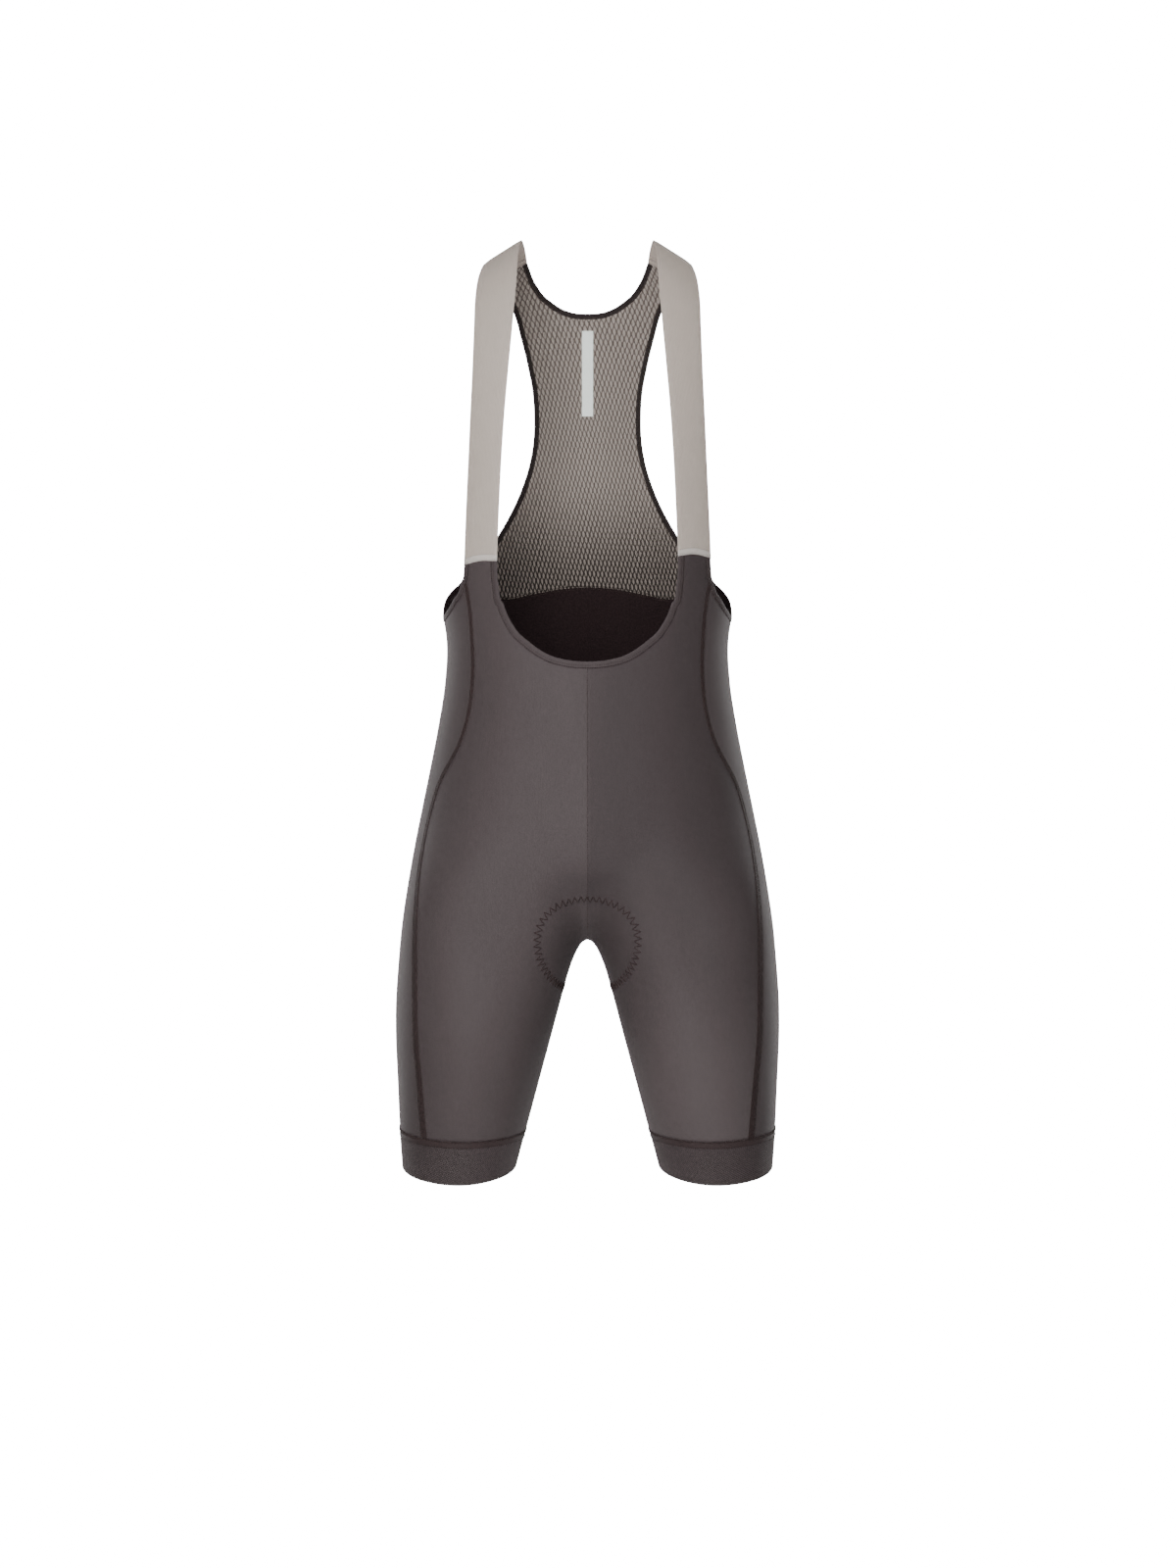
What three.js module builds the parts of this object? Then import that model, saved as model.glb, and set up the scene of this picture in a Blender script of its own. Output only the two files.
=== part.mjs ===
// Cycling bib shorts, hollow and filled out as if worn, with no wearer inside.
// Millimetres, +Z up. The front faces -Y and the wearer's left is +X.
// The origin is at the shoulders, midway between the tops of the two straps.
// Every piece is a thin wall on one worn surface, and neighbours stop short of their seam.

import * as THREE from 'three';

// Wall thicknesses, and how far a wall's middle lies outside the worn surface
const jerseyThick = 1.2;
const turnedThick = 1.8;
const gripperThick = 1.6;
const strapThick = 1.6;
const meshThick = 1.0;
const bindingThick = 1.8;
const labelThick = 1.0;
const padThick = 5.0;

// The room left between two pieces at a seam, or where one lies on another
const seamGap = 0.3;
const padGap = 1.8;

// Widths of the narrow pieces
const scoopBandWidth = 6.5;
const armholeBandWidth = 5.5;
const neckBindingWidth = 5.8;
const meshBindingWidth = 5.5;
const labelWidth = 12.0;

// How softly the two legs run together at the crotch
const crotchBlend = 44;
const crotchShare = 0.6;

// Heights where the wraps over the shoulder begin, and where the label lies
const shoulderBase = -110;
const labelTop = 79;
const labelBottom = 156.5;

// How many strips the longer pieces are split into
const scoopSteps = 8;
const tabSteps = 4;
const hemSteps = 2;
const strapSteps = 24;
const hornSteps = 5;
const hornAcross = 3;
const meshSteps = 16;
const footSteps = 6;
const armSteps = 3;
const neckSteps = 4;
const labelSteps = 5;
const padSteps = 17;
const padAcross = 20;

// Height where the front's tab begins, and where its armhole turns back along the side seam
const tabBase = -412;
const armTurn = -352.9;

// Runs where the mesh meets the armhole band and where its horn begins, and how far out the horn lies
const meshFoot = 331;
const hornBase = 83;
const hornStart = 36;
const hornTip = 62.8;

const table = (columns, rows) => rows.map((row) => (
  Object.fromEntries(columns.map((column, index) => [column, row[index]]))
));

// Half of the worn figure at each height: outer and inner side, front, back and squareness
const figure = table(['height', 'outer', 'inner', 'front', 'back', 'square'], [
  [-956, 187.0, 77.0, -60.0, 58, 2.0],
  [-938, 188.0, 72.5, -62.0, 60, 2.0],
  [-917, 189.5, 66.9, -65.0, 62, 2.0],
  [-897, 190.6, 61.5, -69.0, 66, 2.05],
  [-852, 192.6, 49.4, -78.0, 76, 2.05],
  [-807, 194.5, 37.3, -85.0, 85, 2.1],
  [-777, 194.5, 29.3, -88.0, 90, 2.15],
  [-732, 191.5, 16.8, -91.5, 99, 2.45],
  [-692, 187.5, 4.7, -93.5, 110, 2.85],
  [-652, 182.0, -17.0, -96.0, 119, 2.7],
  [-612, 175.5, -82.0, -99.0, 120, 2.35],
  [-572, 167.5, -150.0, -101.0, 116, 2.2],
  [-532, 159.0, -159.0, -102.0, 108, 2.2],
  [-492, 151.0, -151.0, -102.0, 98, 2.15],
  [-450, 144.2, -144.2, -101.0, 88, 2.15],
  [-407, 142.3, -142.3, -101.0, 82, 2.15],
  [-380, 146.0, -146.0, -102.0, 82, 2.1],
  [-345, 149.0, -149.0, -103.5, 84, 2.1],
  [-300, 151.0, -151.0, -105.0, 91, 2.05],
  [-240, 156.0, -156.0, -106.0, 101, 2.0],
  [-170, 162.0, -162.0, -104.0, 105, 2.0],
  [-110, 162.0, -162.0, -98.0, 99, 2.0],
  [-70, 151.0, -151.0, -88.0, 89, 2.0],
  [-45, 131.0, -131.0, -79.0, 79, 2.0],
  [-24, 104.0, -104.0, -69.0, 68, 2.0],
  [-12, 85.0, -85.0, -63.0, 61, 2.0],
  [0, 66.0, -66.0, -57.0, 54, 2.0],
  [12, 46.0, -46.0, -50.0, 46, 2.0],
]);

// Free edge of the low front neck, from just past the centre out and up to the strap
const scoop = table(['out', 'height'], [
  [-18.5, -432.2],
  [0, -433.6],
  [18.5, -432.2],
  [37.5, -426.8],
  [56.5, -414.2],
  [70.9, -399.7],
  [81.5, -377.5],
  [86.6, -357.4],
  [88.0, -335.0],
  [88.2, -322.0],
]);

// Seam between the front and the side, down the front of the hip and thigh
const sideSeam = table(['height', 'out'], [
  [-930, 159.5],
  [-904, 161.5],
  [-842, 166.0],
  [-803, 169.0],
  [-745, 169.6],
  [-690, 169.0],
  [-630, 165.3],
  [-585, 157.5],
  [-552, 147.5],
  [-513, 126.5],
  [-480, 116.5],
  [-446, 112.6],
  [-407, 113.4],
  [-383, 115.2],
  [-352, 119.6],
  [-330, 122.0],
]);

// Free edge of the lower armhole, by the angle round from the centre front in degrees
const armhole = table(['angle', 'height'], [
  [60.6, -322.0],
  [61.0, -336.0],
  [62.9, -352.9],
  [68.4, -368.8],
  [77.6, -381.2],
  [83.0, -382.5],
  [87.5, -377.5],
  [92.0, -366.5],
  [96.5, -358.0],
  [101.8, -349.0],
  [105.2, -343.5],
  [110.0, -331.0],
]);

// Free edge of the mesh's armhole. Run goes up the front, over the shoulder and down the back:
// it is the height on the front, and the depth below the origin on the back.
const meshSide = table(['run', 'out'], [
  [24.0, 99.6],
  [34.0, 95.5],
  [45.0, 88.0],
  [63.6, 77.4],
  [83.4, 70.9],
  [107.5, 63.6],
  [121.7, 60.4],
  [137.0, 58.3],
  [160.0, 57.2],
  [184.0, 58.0],
  [200.0, 60.2],
  [216.0, 63.7],
  [232.0, 68.6],
  [249.0, 74.9],
  [265.0, 82.0],
  [290.5, 95.4],
  [331.0, 120.3],
]);

// Free edge of the mesh's neck
const meshNeck = table(['out', 'run'], [
  [-18.2, 65.3],
  [0, 66.6],
  [18.2, 65.3],
  [35.9, 58.7],
  [51.2, 47.1],
  [58.4, 36.5],
  [62.8, 25.4],
]);

// Seam between the mesh and the jersey at the back
const meshSeam = table(['out', 'height'], [
  [-23.0, -344.3],
  [0, -343.0],
  [23.0, -344.3],
  [46.0, -348.2],
  [68.0, -353.4],
  [86.0, -357.2],
  [99.0, -355.0],
  [109.0, -346.5],
  [121.0, -330.0],
]);

// The two edges of a strap along its run
const strapEdge = table(['run', 'inner', 'outer'], [
  [-345.0, 88.1, 121.6],
  [-330.0, 88.0, 121.3],
  [-287.0, 86.3, 119.6],
  [-245.0, 84.3, 117.6],
  [-188.0, 80.5, 114.9],
  [-145.0, 76.7, 112.9],
  [-104.0, 73.0, 111.6],
  [-69.0, 69.9, 110.8],
  [-45.0, 69.0, 108.6],
  [-34.0, 68.2, 106.6],
  [-2.0, 65.8, 102.5],
  [25.4, 62.8, 99.5],
]);

// Heights of a strap's foot at its inner edge, middle and outer edge
const strapFoot = {
  left: { inner: -330.4, middle: -327.4, outer: -329.8 },
  right: { inner: -335.2, middle: -334.0, outer: -336.6 },
};

// Seam and hem of the leg, by the turn round the leg: 0 inside, a quarter in front, a half outside
const legEnd = table(['turn', 'seam', 'hem'], [
  [0, -904.0, -940.0],
  [0.12, -904.5, -946.0],
  [0.22, -905.0, -948.8],
  [0.36, -903.0, -945.8],
  [0.5, -901.0, -939.5],
  [0.75, -902.0, -942.0],
  [1, -904.0, -940.0],
]);

// Heights of the rows up the inseam, and up the centre front and centre back from the crotch
const inseamRows = [-904, -877, -850, -824, -799, -777, -758, -742, -729, -720, -714];
const frontRows = [-708.5, -703.5, -694, -681, -664, -644, -620, -594, -566, -536, -504, -471];
const backRows = [-708.5, -702, -692, -678, -660, -640, -617, -592, -565, -536, -506, -475, -443, -410, -376];

// Half widths of the pad along its middle line, from its front tip over the crotch to its back
const padWidths = table(['along', 'half'], [
  [0, 38.0],
  [6, 53.0],
  [14, 62.0],
  [26, 69.0],
  [42, 73.0],
  [54, 70.0],
  [68, 64.0],
  [86, 60.0],
  [110, 62.0],
  [140, 71.0],
  [170, 78.0],
  [195, 78.0],
  [215, 69.0],
  [230, 54.0],
  [240, 34.0],
]);
const padFront = -663.5;
const padStride = 2;

// A smooth curve through two columns of a table
function curve(rows, key, column) {
  const at = rows.map((row) => row[key]);
  const value = rows.map((row) => row[column]);
  const last = at.length - 1;
  const chord = (i) => (value[i + 1] - value[i]) / (at[i + 1] - at[i]);
  const slope = at.map((_, i) => {
    if (i === 0) return chord(0);
    if (i === last) return chord(last - 1);
    const before = at[i] - at[i - 1];
    const after = at[i + 1] - at[i];
    return (chord(i - 1) * after + chord(i) * before) / (before + after);
  });
  return (x) => {
    const clamped = Math.min(Math.max(x, at[0]), at[last]);
    let i = 0;
    while (i < last - 1 && clamped > at[i + 1]) i += 1;
    const step = at[i + 1] - at[i];
    const t = (clamped - at[i]) / step;
    const s = 1 - t;
    const ends = value[i] * (1 + 2 * t) * s * s + value[i + 1] * t * t * (3 - 2 * t);
    return ends + step * (slope[i] * t * s * s - slope[i + 1] * t * t * s);
  };
}

// The value where a rising function passes zero
function root(rising, from, to) {
  let low = from;
  let high = to;
  for (let i = 0; i < 40; i += 1) {
    const middle = (low + high) / 2;
    if (rising(middle) < 0) low = middle;
    else high = middle;
  }
  return (low + high) / 2;
}

const figureOuter = curve(figure, 'height', 'outer');
const figureInner = curve(figure, 'height', 'inner');
const figureFront = curve(figure, 'height', 'front');
const figureBack = curve(figure, 'height', 'back');
const figureSquare = curve(figure, 'height', 'square');

function sectionAt(height) {
  const outer = figureOuter(height);
  const front = figureFront(height);
  const back = figureBack(height);
  const out = Math.max((outer + figureInner(height)) / 2, 0);
  return {
    out,
    halfWidth: outer - out,
    deep: (front + back) / 2,
    halfDepth: (back - front) / 2,
    square: figureSquare(height),
    blend: Math.max(Math.min(crotchBlend, crotchShare * out), 1e-6),
  };
}

// Distance outside one leg's oval, near enough close to it
function legField(x, y, section) {
  const across = Math.abs((x - section.out) / section.halfWidth) + 1e-9;
  const along = Math.abs((y - section.deep) / section.halfDepth) + 1e-9;
  const power = section.square;
  const radius = (across ** power + along ** power) ** (1 / power);
  const steep = Math.hypot(
    across ** (power - 1) / section.halfWidth,
    along ** (power - 1) / section.halfDepth,
  );
  return (radius - 1) / (radius ** (1 - power) * steep);
}

// Zero on the worn surface, positive outside: one oval, or two legs run together
function field(x, y, z, section = sectionAt(z)) {
  const near = legField(Math.abs(x), y, section);
  const far = legField(-Math.abs(x), y, section);
  const overlap = Math.max(section.blend - Math.abs(near - far), 0);
  return Math.min(near, far) - (overlap * overlap) / (4 * section.blend);
}

function slopeAt(point) {
  const h = 0.05;
  const { x, y, z } = point;
  return new THREE.Vector3(
    field(x + h, y, z) - field(x - h, y, z),
    field(x, y + h, z) - field(x, y - h, z),
    field(x, y, z + h) - field(x, y, z - h),
  ).divideScalar(2 * h);
}

const normalAt = (point) => slopeAt(point).normalize();

// Moves a point on to the worn surface by the shortest way
function settle(point) {
  const settled = point.clone();
  for (let i = 0; i < 5; i += 1) {
    const slope = slopeAt(settled);
    settled.addScaledVector(slope, -field(settled.x, settled.y, settled.z) / slope.lengthSq());
  }
  return settled;
}

// The worn surface by turn and height: turn 0 is the centre front or inseam, 1 the centre back
function angleAt(turn, section, height) {
  let gapAngle = 0;
  if (field(0, section.deep, height, section) < 0) {
    const reach = root((r) => field(0, section.deep - r, height, section), 0, 1.5 * section.halfDepth);
    gapAngle = Math.atan2(reach / section.halfDepth, section.out / section.halfWidth);
  }
  const side = 1 - 2 * Math.min(turn, 1 - turn);
  const power = 3 - (4 * gapAngle) / Math.PI;
  const angle = Math.PI * (1 - side) + gapAngle * Math.sign(side) * Math.abs(side) ** power;
  return turn <= 0.5 ? angle : 2 * Math.PI - angle;
}

function bodyPoint(turn, height) {
  const section = sectionAt(height);
  const angle = angleAt(turn, section, height);
  const dx = -Math.cos(angle) * section.halfWidth;
  const dy = -Math.sin(angle) * section.halfDepth;
  const limit = dx < -1e-6 ? Math.min(1.6, section.out / -dx) : 1.6;
  const outside = (r) => field(section.out + r * dx, section.deep + r * dy, height, section);
  const reach = root(outside, 0.6, limit);
  return new THREE.Vector3(section.out + reach * dx, section.deep + reach * dy, height);
}

function bodyChart(point) {
  const section = sectionAt(point.z);
  const across = (point.x - section.out) / section.halfWidth;
  const along = (point.y - section.deep) / section.halfDepth;
  const angle = (Math.atan2(-along, -across) + 2 * Math.PI) % (2 * Math.PI);
  const turn = root((u) => angleAt(u, section, point.z) - angle, 0, 1);
  return [turn, point.z];
}

// The back's chart ends at turn 1, where the angle starts again from nothing
function backChart(point) {
  const [turn, height] = bodyChart(point);
  return [turn < 0.2 ? 1 : turn, height];
}

// The worn surface by distance out from the middle and run over the shoulder
function wrapPoint(out, run) {
  const base = Math.min(shoulderBase, -Math.abs(run));
  const lift = (Math.PI * (Math.min(Math.max(run, shoulderBase), -shoulderBase) - shoulderBase))
    / (-2 * shoulderBase);
  const dy = -Math.cos(lift);
  const dz = Math.sin(lift);
  const reach = root((r) => field(out, r * dy, base + r * dz), 0, 260);
  return new THREE.Vector3(out, reach * dy, base + reach * dz);
}

function wrapChart(point) {
  if (point.z < shoulderBase) return [point.x, point.y < 0 ? point.z : -point.z];
  const lift = Math.atan2(point.z - shoulderBase, -point.y);
  return [point.x, shoulderBase - (2 * shoulderBase * lift) / Math.PI];
}

// The worn surface by angle round the middle and height, for the torso only
function ringPoint(degrees, height) {
  const angle = THREE.MathUtils.degToRad(degrees);
  const reach = root((r) => field(r * Math.sin(angle), -r * Math.cos(angle), height), 20, 260);
  return new THREE.Vector3(reach * Math.sin(angle), -reach * Math.cos(angle), height);
}

const mirrored = (point) => new THREE.Vector3(-point.x, point.y, point.z);
const mirrorAll = (points) => points.map(mirrored);
const mix = (a, b, t) => a + (b - a) * t;
const spread = (from, to, steps) => (
  Array.from({ length: steps + 1 }, (_, i) => mix(from, to, i / steps))
);

// Both halves of a line that starts at the middle, as one line from right to left
const bothSides = (right, left) => [...mirrorAll(right).reverse(), ...left.slice(1)];

// The line a given width inside an edge: hand 1 is its left as seen from outside, -1 its right
function inside(edge, width, hand) {
  return edge.map((point, i) => {
    const before = edge[Math.max(i - 1, 0)];
    const after = edge[Math.min(i + 1, edge.length - 1)];
    const along = after.clone().sub(before).normalize();
    const inward = normalAt(point).cross(along).normalize();
    const distance = typeof width === 'function' ? width(i) : width;
    return settle(point.clone().addScaledVector(inward, hand * distance));
  });
}

// A grid of points between four edges of the worn surface, in rows from bottom to top
function patch({ bottom, top, left, right, toChart, toPoint, hold = 3 }) {
  const chart = {
    bottom: bottom.map(toChart),
    top: top.map(toChart),
    left: left.map(toChart),
    right: right.map(toChart),
  };
  const across = bottom.length - 1;
  const up = left.length - 1;
  return left.map((_, j) => bottom.map((__, i) => {
    if (j === 0) return bottom[i];
    if (j === up) return top[i];
    if (i === 0) return left[j];
    if (i === across) return right[j];
    const s = i / across;
    const t = j / up;
    const value = [0, 1].map((axis) => {
      const base = mix(chart.left[j][axis], chart.right[j][axis], s);
      const low = chart.bottom[i][axis] - mix(chart.bottom[0][axis], chart.bottom[across][axis], s);
      const high = chart.top[i][axis] - mix(chart.top[0][axis], chart.top[across][axis], s);
      return base + low * (1 - t) ** hold + high * t ** hold;
    });
    return toPoint(value[0], value[1]);
  }));
}

// One sheet from several grids, with the points that they share joined
function sheetOf(grids) {
  const points = [];
  const found = new Map();
  const indexOf = (point) => {
    const key = point.toArray().map((value) => Math.round(value * 50)).join(' ');
    if (!found.has(key)) {
      found.set(key, points.length);
      points.push(point);
    }
    return found.get(key);
  };
  const triangles = [];
  grids.forEach((grid) => {
    const index = grid.map((row) => row.map(indexOf));
    for (let j = 0; j < index.length - 1; j += 1) {
      for (let i = 0; i < index[j].length - 1; i += 1) {
        const [a, b, c, d] = [index[j][i], index[j][i + 1], index[j + 1][i + 1], index[j + 1][i]];
        const short = points[a].distanceTo(points[c]) <= points[b].distanceTo(points[d]);
        const pair = short ? [[a, b, c], [a, c, d]] : [[a, b, d], [b, c, d]];
        triangles.push(...pair.filter((t) => new Set(t).size === 3));
      }
    }
  });
  return { points, triangles };
}

// The edges of a sheet that only one triangle uses, as the next point after each point
function rimOf(triangles) {
  const used = new Set();
  triangles.forEach(([a, b, c]) => {
    [[a, b], [b, c], [c, a]].forEach(([from, to]) => used.add(`${from} ${to}`));
  });
  const next = new Map();
  used.forEach((key) => {
    const [from, to] = key.split(' ').map(Number);
    if (!used.has(`${to} ${from}`)) next.set(from, to);
  });
  return next;
}

// A closed wall round a sheet, drawn in by half the seam gap at its rim
function wallOf(sheet, thickness, lift = 0, trim = seamGap / 2) {
  const next = rimOf(sheet.triangles);
  const before = new Map([...next].map(([from, to]) => [to, from]));
  const normals = sheet.points.map(normalAt);
  const middle = sheet.points.map((point, i) => {
    if (!next.has(i)) return point.clone();
    const inward = [[before.get(i), i], [i, next.get(i)]].map(([from, to]) => {
      const along = sheet.points[to].clone().sub(sheet.points[from]);
      return normals[i].clone().cross(along).normalize();
    });
    const open = Math.max(1 + inward[0].dot(inward[1]), 0.4);
    return point.clone().addScaledVector(inward[0].clone().add(inward[1]), trim / open);
  });
  const count = middle.length;
  const positions = [];
  [lift + thickness / 2, lift - thickness / 2].forEach((offset) => {
    middle.forEach((point, i) => {
      positions.push(...point.clone().addScaledVector(normals[i], offset).toArray());
    });
  });
  const faces = [];
  sheet.triangles.forEach(([a, b, c]) => {
    faces.push(a, b, c);
    faces.push(a + count, c + count, b + count);
  });
  next.forEach((to, from) => {
    faces.push(from, from + count, to + count);
    faces.push(from, to + count, to);
  });
  const geometry = new THREE.BufferGeometry();
  geometry.setAttribute('position', new THREE.Float32BufferAttribute(positions, 3));
  geometry.setIndex(faces);
  geometry.computeVertexNormals();
  return geometry;
}

// The same sheet on the other side of the body
function mirrorSheet(sheet) {
  return {
    points: mirrorAll(sheet.points),
    triangles: sheet.triangles.map(([a, b, c]) => [a, c, b]),
  };
}

const scoopHeight = curve(scoop, 'out', 'height');
const seamOut = curve(sideSeam, 'height', 'out');
const armholeHeight = curve(armhole, 'angle', 'height');
const armholeAngle = (height) => root((a) => height - armholeHeight(a), 60.6, 77.6);
const meshSideOut = curve(meshSide, 'run', 'out');
const meshNeckRun = curve(meshNeck, 'out', 'run');
const meshSeamHeight = curve(meshSeam, 'out', 'height');
const strapInner = curve(strapEdge, 'run', 'inner');
const strapOuter = curve(strapEdge, 'run', 'outer');
const seamHeight = curve(legEnd, 'turn', 'seam');
const hemHeight = curve(legEnd, 'turn', 'hem');
const padHalf = curve(padWidths, 'along', 'half');

// The crotch is where the two legs' surface first closes at the middle
const crotchHeight = root((z) => -field(0, sectionAt(z).deep, z), -760, -660);
const crotchPoint = new THREE.Vector3(0, sectionAt(crotchHeight).deep, crotchHeight);

const seamPoint = (height) => wrapPoint(seamOut(height), height);
const strapBase = -332;
const strapEnd = 25.4;
const strapStraight = 0.36;
const strapShares = [0, 0.17, 0.5, 0.84, 1];
const sideSeamFoot = -903.2;

// Lines that belong to one side, worked out on the left; the strap's foot differs a little
function linesOf(foot) {
  const footTable = table(['out', 'height'], [
    [strapInner(foot.inner), foot.inner],
    [mix(strapInner(foot.middle), strapOuter(foot.middle), 0.5), foot.middle],
    [strapOuter(foot.outer), foot.outer],
  ]);
  const footHeight = curve(footTable, 'out', 'height');
  const onFoot = (point) => wrapPoint(point.x, footHeight(point.x));

  // The front neck's free edge: down from the strap's foot to the middle
  const steep = spread(tabBase, foot.inner, footSteps).map((height) => (
    wrapPoint(root((x) => scoopHeight(x) - height, 30, 88.2), height)
  ));
  const shallow = spread(0, steep[0].x, scoopSteps).slice(0, -1).map((x) => (
    wrapPoint(x, scoopHeight(x))
  ));
  const neckEdge = [...shallow, ...steep];
  const neckWhole = bothSides(neckEdge, neckEdge);
  const neckPanel = inside(neckWhole, scoopBandWidth, -1).slice(neckEdge.length - 1);
  neckPanel[0].setX(0);
  neckPanel[neckPanel.length - 1] = onFoot(neckPanel[neckPanel.length - 1]);

  // The lower armhole's free edge: from the strap's foot round the side to the mesh
  const frontAngles = spread(foot.outer, armTurn, armSteps).map(armholeAngle);
  const sideAngles = [68.4, 74.5, 81, 87.5, 94, 101.8, 110];
  const armEdge = [...frontAngles, ...sideAngles].map((a) => ringPoint(a, armholeHeight(a)));
  armEdge[0] = wrapPoint(strapOuter(foot.outer), foot.outer);
  const armPanel = inside(armEdge, armholeBandWidth, -1);
  armPanel[0] = onFoot(armPanel[0]);
  const corner = armPanel[armSteps];
  return { footHeight, neckEdge, neckPanel, armEdge, armPanel, corner };
}

// Front panel: the leg and belly up to the neck, and the tab up to the strap's foot
function frontSheet(lines) {
  const inseam = inseamRows.map((z) => bodyPoint(0, z));
  const middle = frontRows.map((z) => bodyPoint(0, z));
  const left = [...inseam, crotchPoint, ...middle, lines.neckPanel[0]];
  left[0] = bodyPoint(0, seamHeight(0));
  const right = sideRows(left);
  const bottomTurn = bodyChart(right[0])[0];
  const bottom = spread(0, bottomTurn, scoopSteps + tabSteps).map((u) => bodyPoint(u, seamHeight(u)));
  bottom[bottom.length - 1] = right[0];
  const split = lines.neckPanel[scoopSteps];
  const splitRight = right[right.length - 1];
  const bridge = spread(0, 1, tabSteps).map((t) => {
    const [fromTurn, fromHeight] = bodyChart(split);
    const [toTurn, toHeight] = bodyChart(splitRight);
    return bodyPoint(mix(fromTurn, toTurn, t), mix(fromHeight, toHeight, t));
  });
  bridge[0] = split;
  bridge[tabSteps] = splitRight;
  const top = [...lines.neckPanel.slice(0, scoopSteps), ...bridge];
  const lower = patch({ bottom, top, left, right, toChart: bodyChart, toPoint: bodyPoint });
  const tabLeft = lines.neckPanel.slice(scoopSteps);
  const tabRight = [splitRight, ...sideTop(lines), ...lines.armPanel.slice(0, armSteps).reverse()];
  const tabTop = spread(tabLeft[footSteps].x, tabRight[footSteps].x, tabSteps).map((x) => (
    wrapPoint(x, lines.footHeight(x))
  ));
  tabTop[0] = tabLeft[footSteps];
  tabTop[tabSteps] = tabRight[footSteps];
  const tab = patch({
    bottom: bridge,
    top: tabTop,
    left: tabLeft,
    right: tabRight,
    toChart: bodyChart,
    toPoint: bodyPoint,
    hold: 1.5,
  });
  return sheetOf([lower, tab]);
}

// The side seam at the rows of the front panel, a little higher towards its top
function sideRows(left) {
  const last = left.length - 1;
  const topRise = tabBase - left[last].z;
  return left.map((point, j) => {
    if (j === 0) return seamPoint(sideSeamFoot);
    return seamPoint(point.z + topRise * (j / last) ** 6);
  });
}

// The side seam above the split, up to the armhole band
function sideTop(lines) {
  return [seamPoint(-393), seamPoint(-374), lines.corner];
}

// Back panel: from the side seam round the side to the inseam and the centre back
function backSheet(lines) {
  const inseam = inseamRows.map((z) => bodyPoint(1, z));
  const middle = backRows.map((z) => bodyPoint(1, z));
  const right = [...inseam, crotchPoint, ...middle, wrapPoint(0, -meshSeamHeight(0))];
  right[0] = bodyPoint(1, seamHeight(1));
  const frontLeft = [...inseam, crotchPoint, ...frontRows.map((z) => bodyPoint(0, z)), lines.neckPanel[0]];
  const left = [...sideRows(frontLeft), ...sideTop(lines)];
  const arm = lines.armPanel.slice(armSteps);
  const seam = meshSeamLine(lines);
  const top = [...arm, ...seam.slice(1)];
  const bottomTurn = bodyChart(left[0])[0];
  const bottom = spread(bottomTurn, 1, top.length - 1).map((u) => bodyPoint(u, seamHeight(u)));
  bottom[0] = left[0];
  return sheetOf([patch({ bottom, top, left, right, toChart: backChart, toPoint: bodyPoint, hold: 5 })]);
}

// The seam of mesh and jersey from the armhole to the centre back
function meshSeamLine(lines) {
  const start = lines.armPanel[lines.armPanel.length - 1];
  const rest = [109, 99, 86, 68, 46, 23, 0].map((x) => wrapPoint(x, -meshSeamHeight(x)));
  return [start, ...rest];
}

// Gripper: a tube round the leg from its seam to the hem
function gripperSheet(lines) {
  const seamTurn = bodyChart(seamPoint(sideSeamFoot))[0];
  const front = spread(0, seamTurn, scoopSteps + tabSteps);
  const backSteps = lines.armPanel.length - armSteps - 1 + meshSeamLine(lines).length - 1;
  const turns = [...front, ...spread(seamTurn, 1, backSteps).slice(1)];
  const rows = spread(0, 1, hemSteps).map((t) => turns.map((u) => (
    bodyPoint(u, mix(hemHeight(u), seamHeight(u), t))
  )));
  return sheetOf([rows]);
}

// A narrow strip between a free edge and the panel that it borders
const stripOf = (edge, panel) => sheetOf([[edge, panel]]);

// Strap: from its foot on the chest over the shoulder to the mesh's horn
function strapSheet(lines) {
  const runs = spread(0, 1, strapSteps).map((t) => {
    if (t <= strapStraight) return mix(strapBase, shoulderBase, t / strapStraight);
    return mix(shoulderBase, strapEnd, (t - strapStraight) / (1 - strapStraight));
  });
  const rows = runs.map((run, j) => strapShares.map((share) => {
    const out = mix(strapInner(run), strapOuter(run), share);
    return j === 0 ? wrapPoint(out, lines.footHeight(out)) : wrapPoint(out, run);
  }));
  rows[0][0] = lines.neckEdge[lines.neckEdge.length - 1];
  rows[0][1] = lines.neckPanel[lines.neckPanel.length - 1];
  rows[0][3] = lines.armPanel[0];
  rows[0][4] = lines.armEdge[0];
  return sheetOf([rows]);
}

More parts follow.
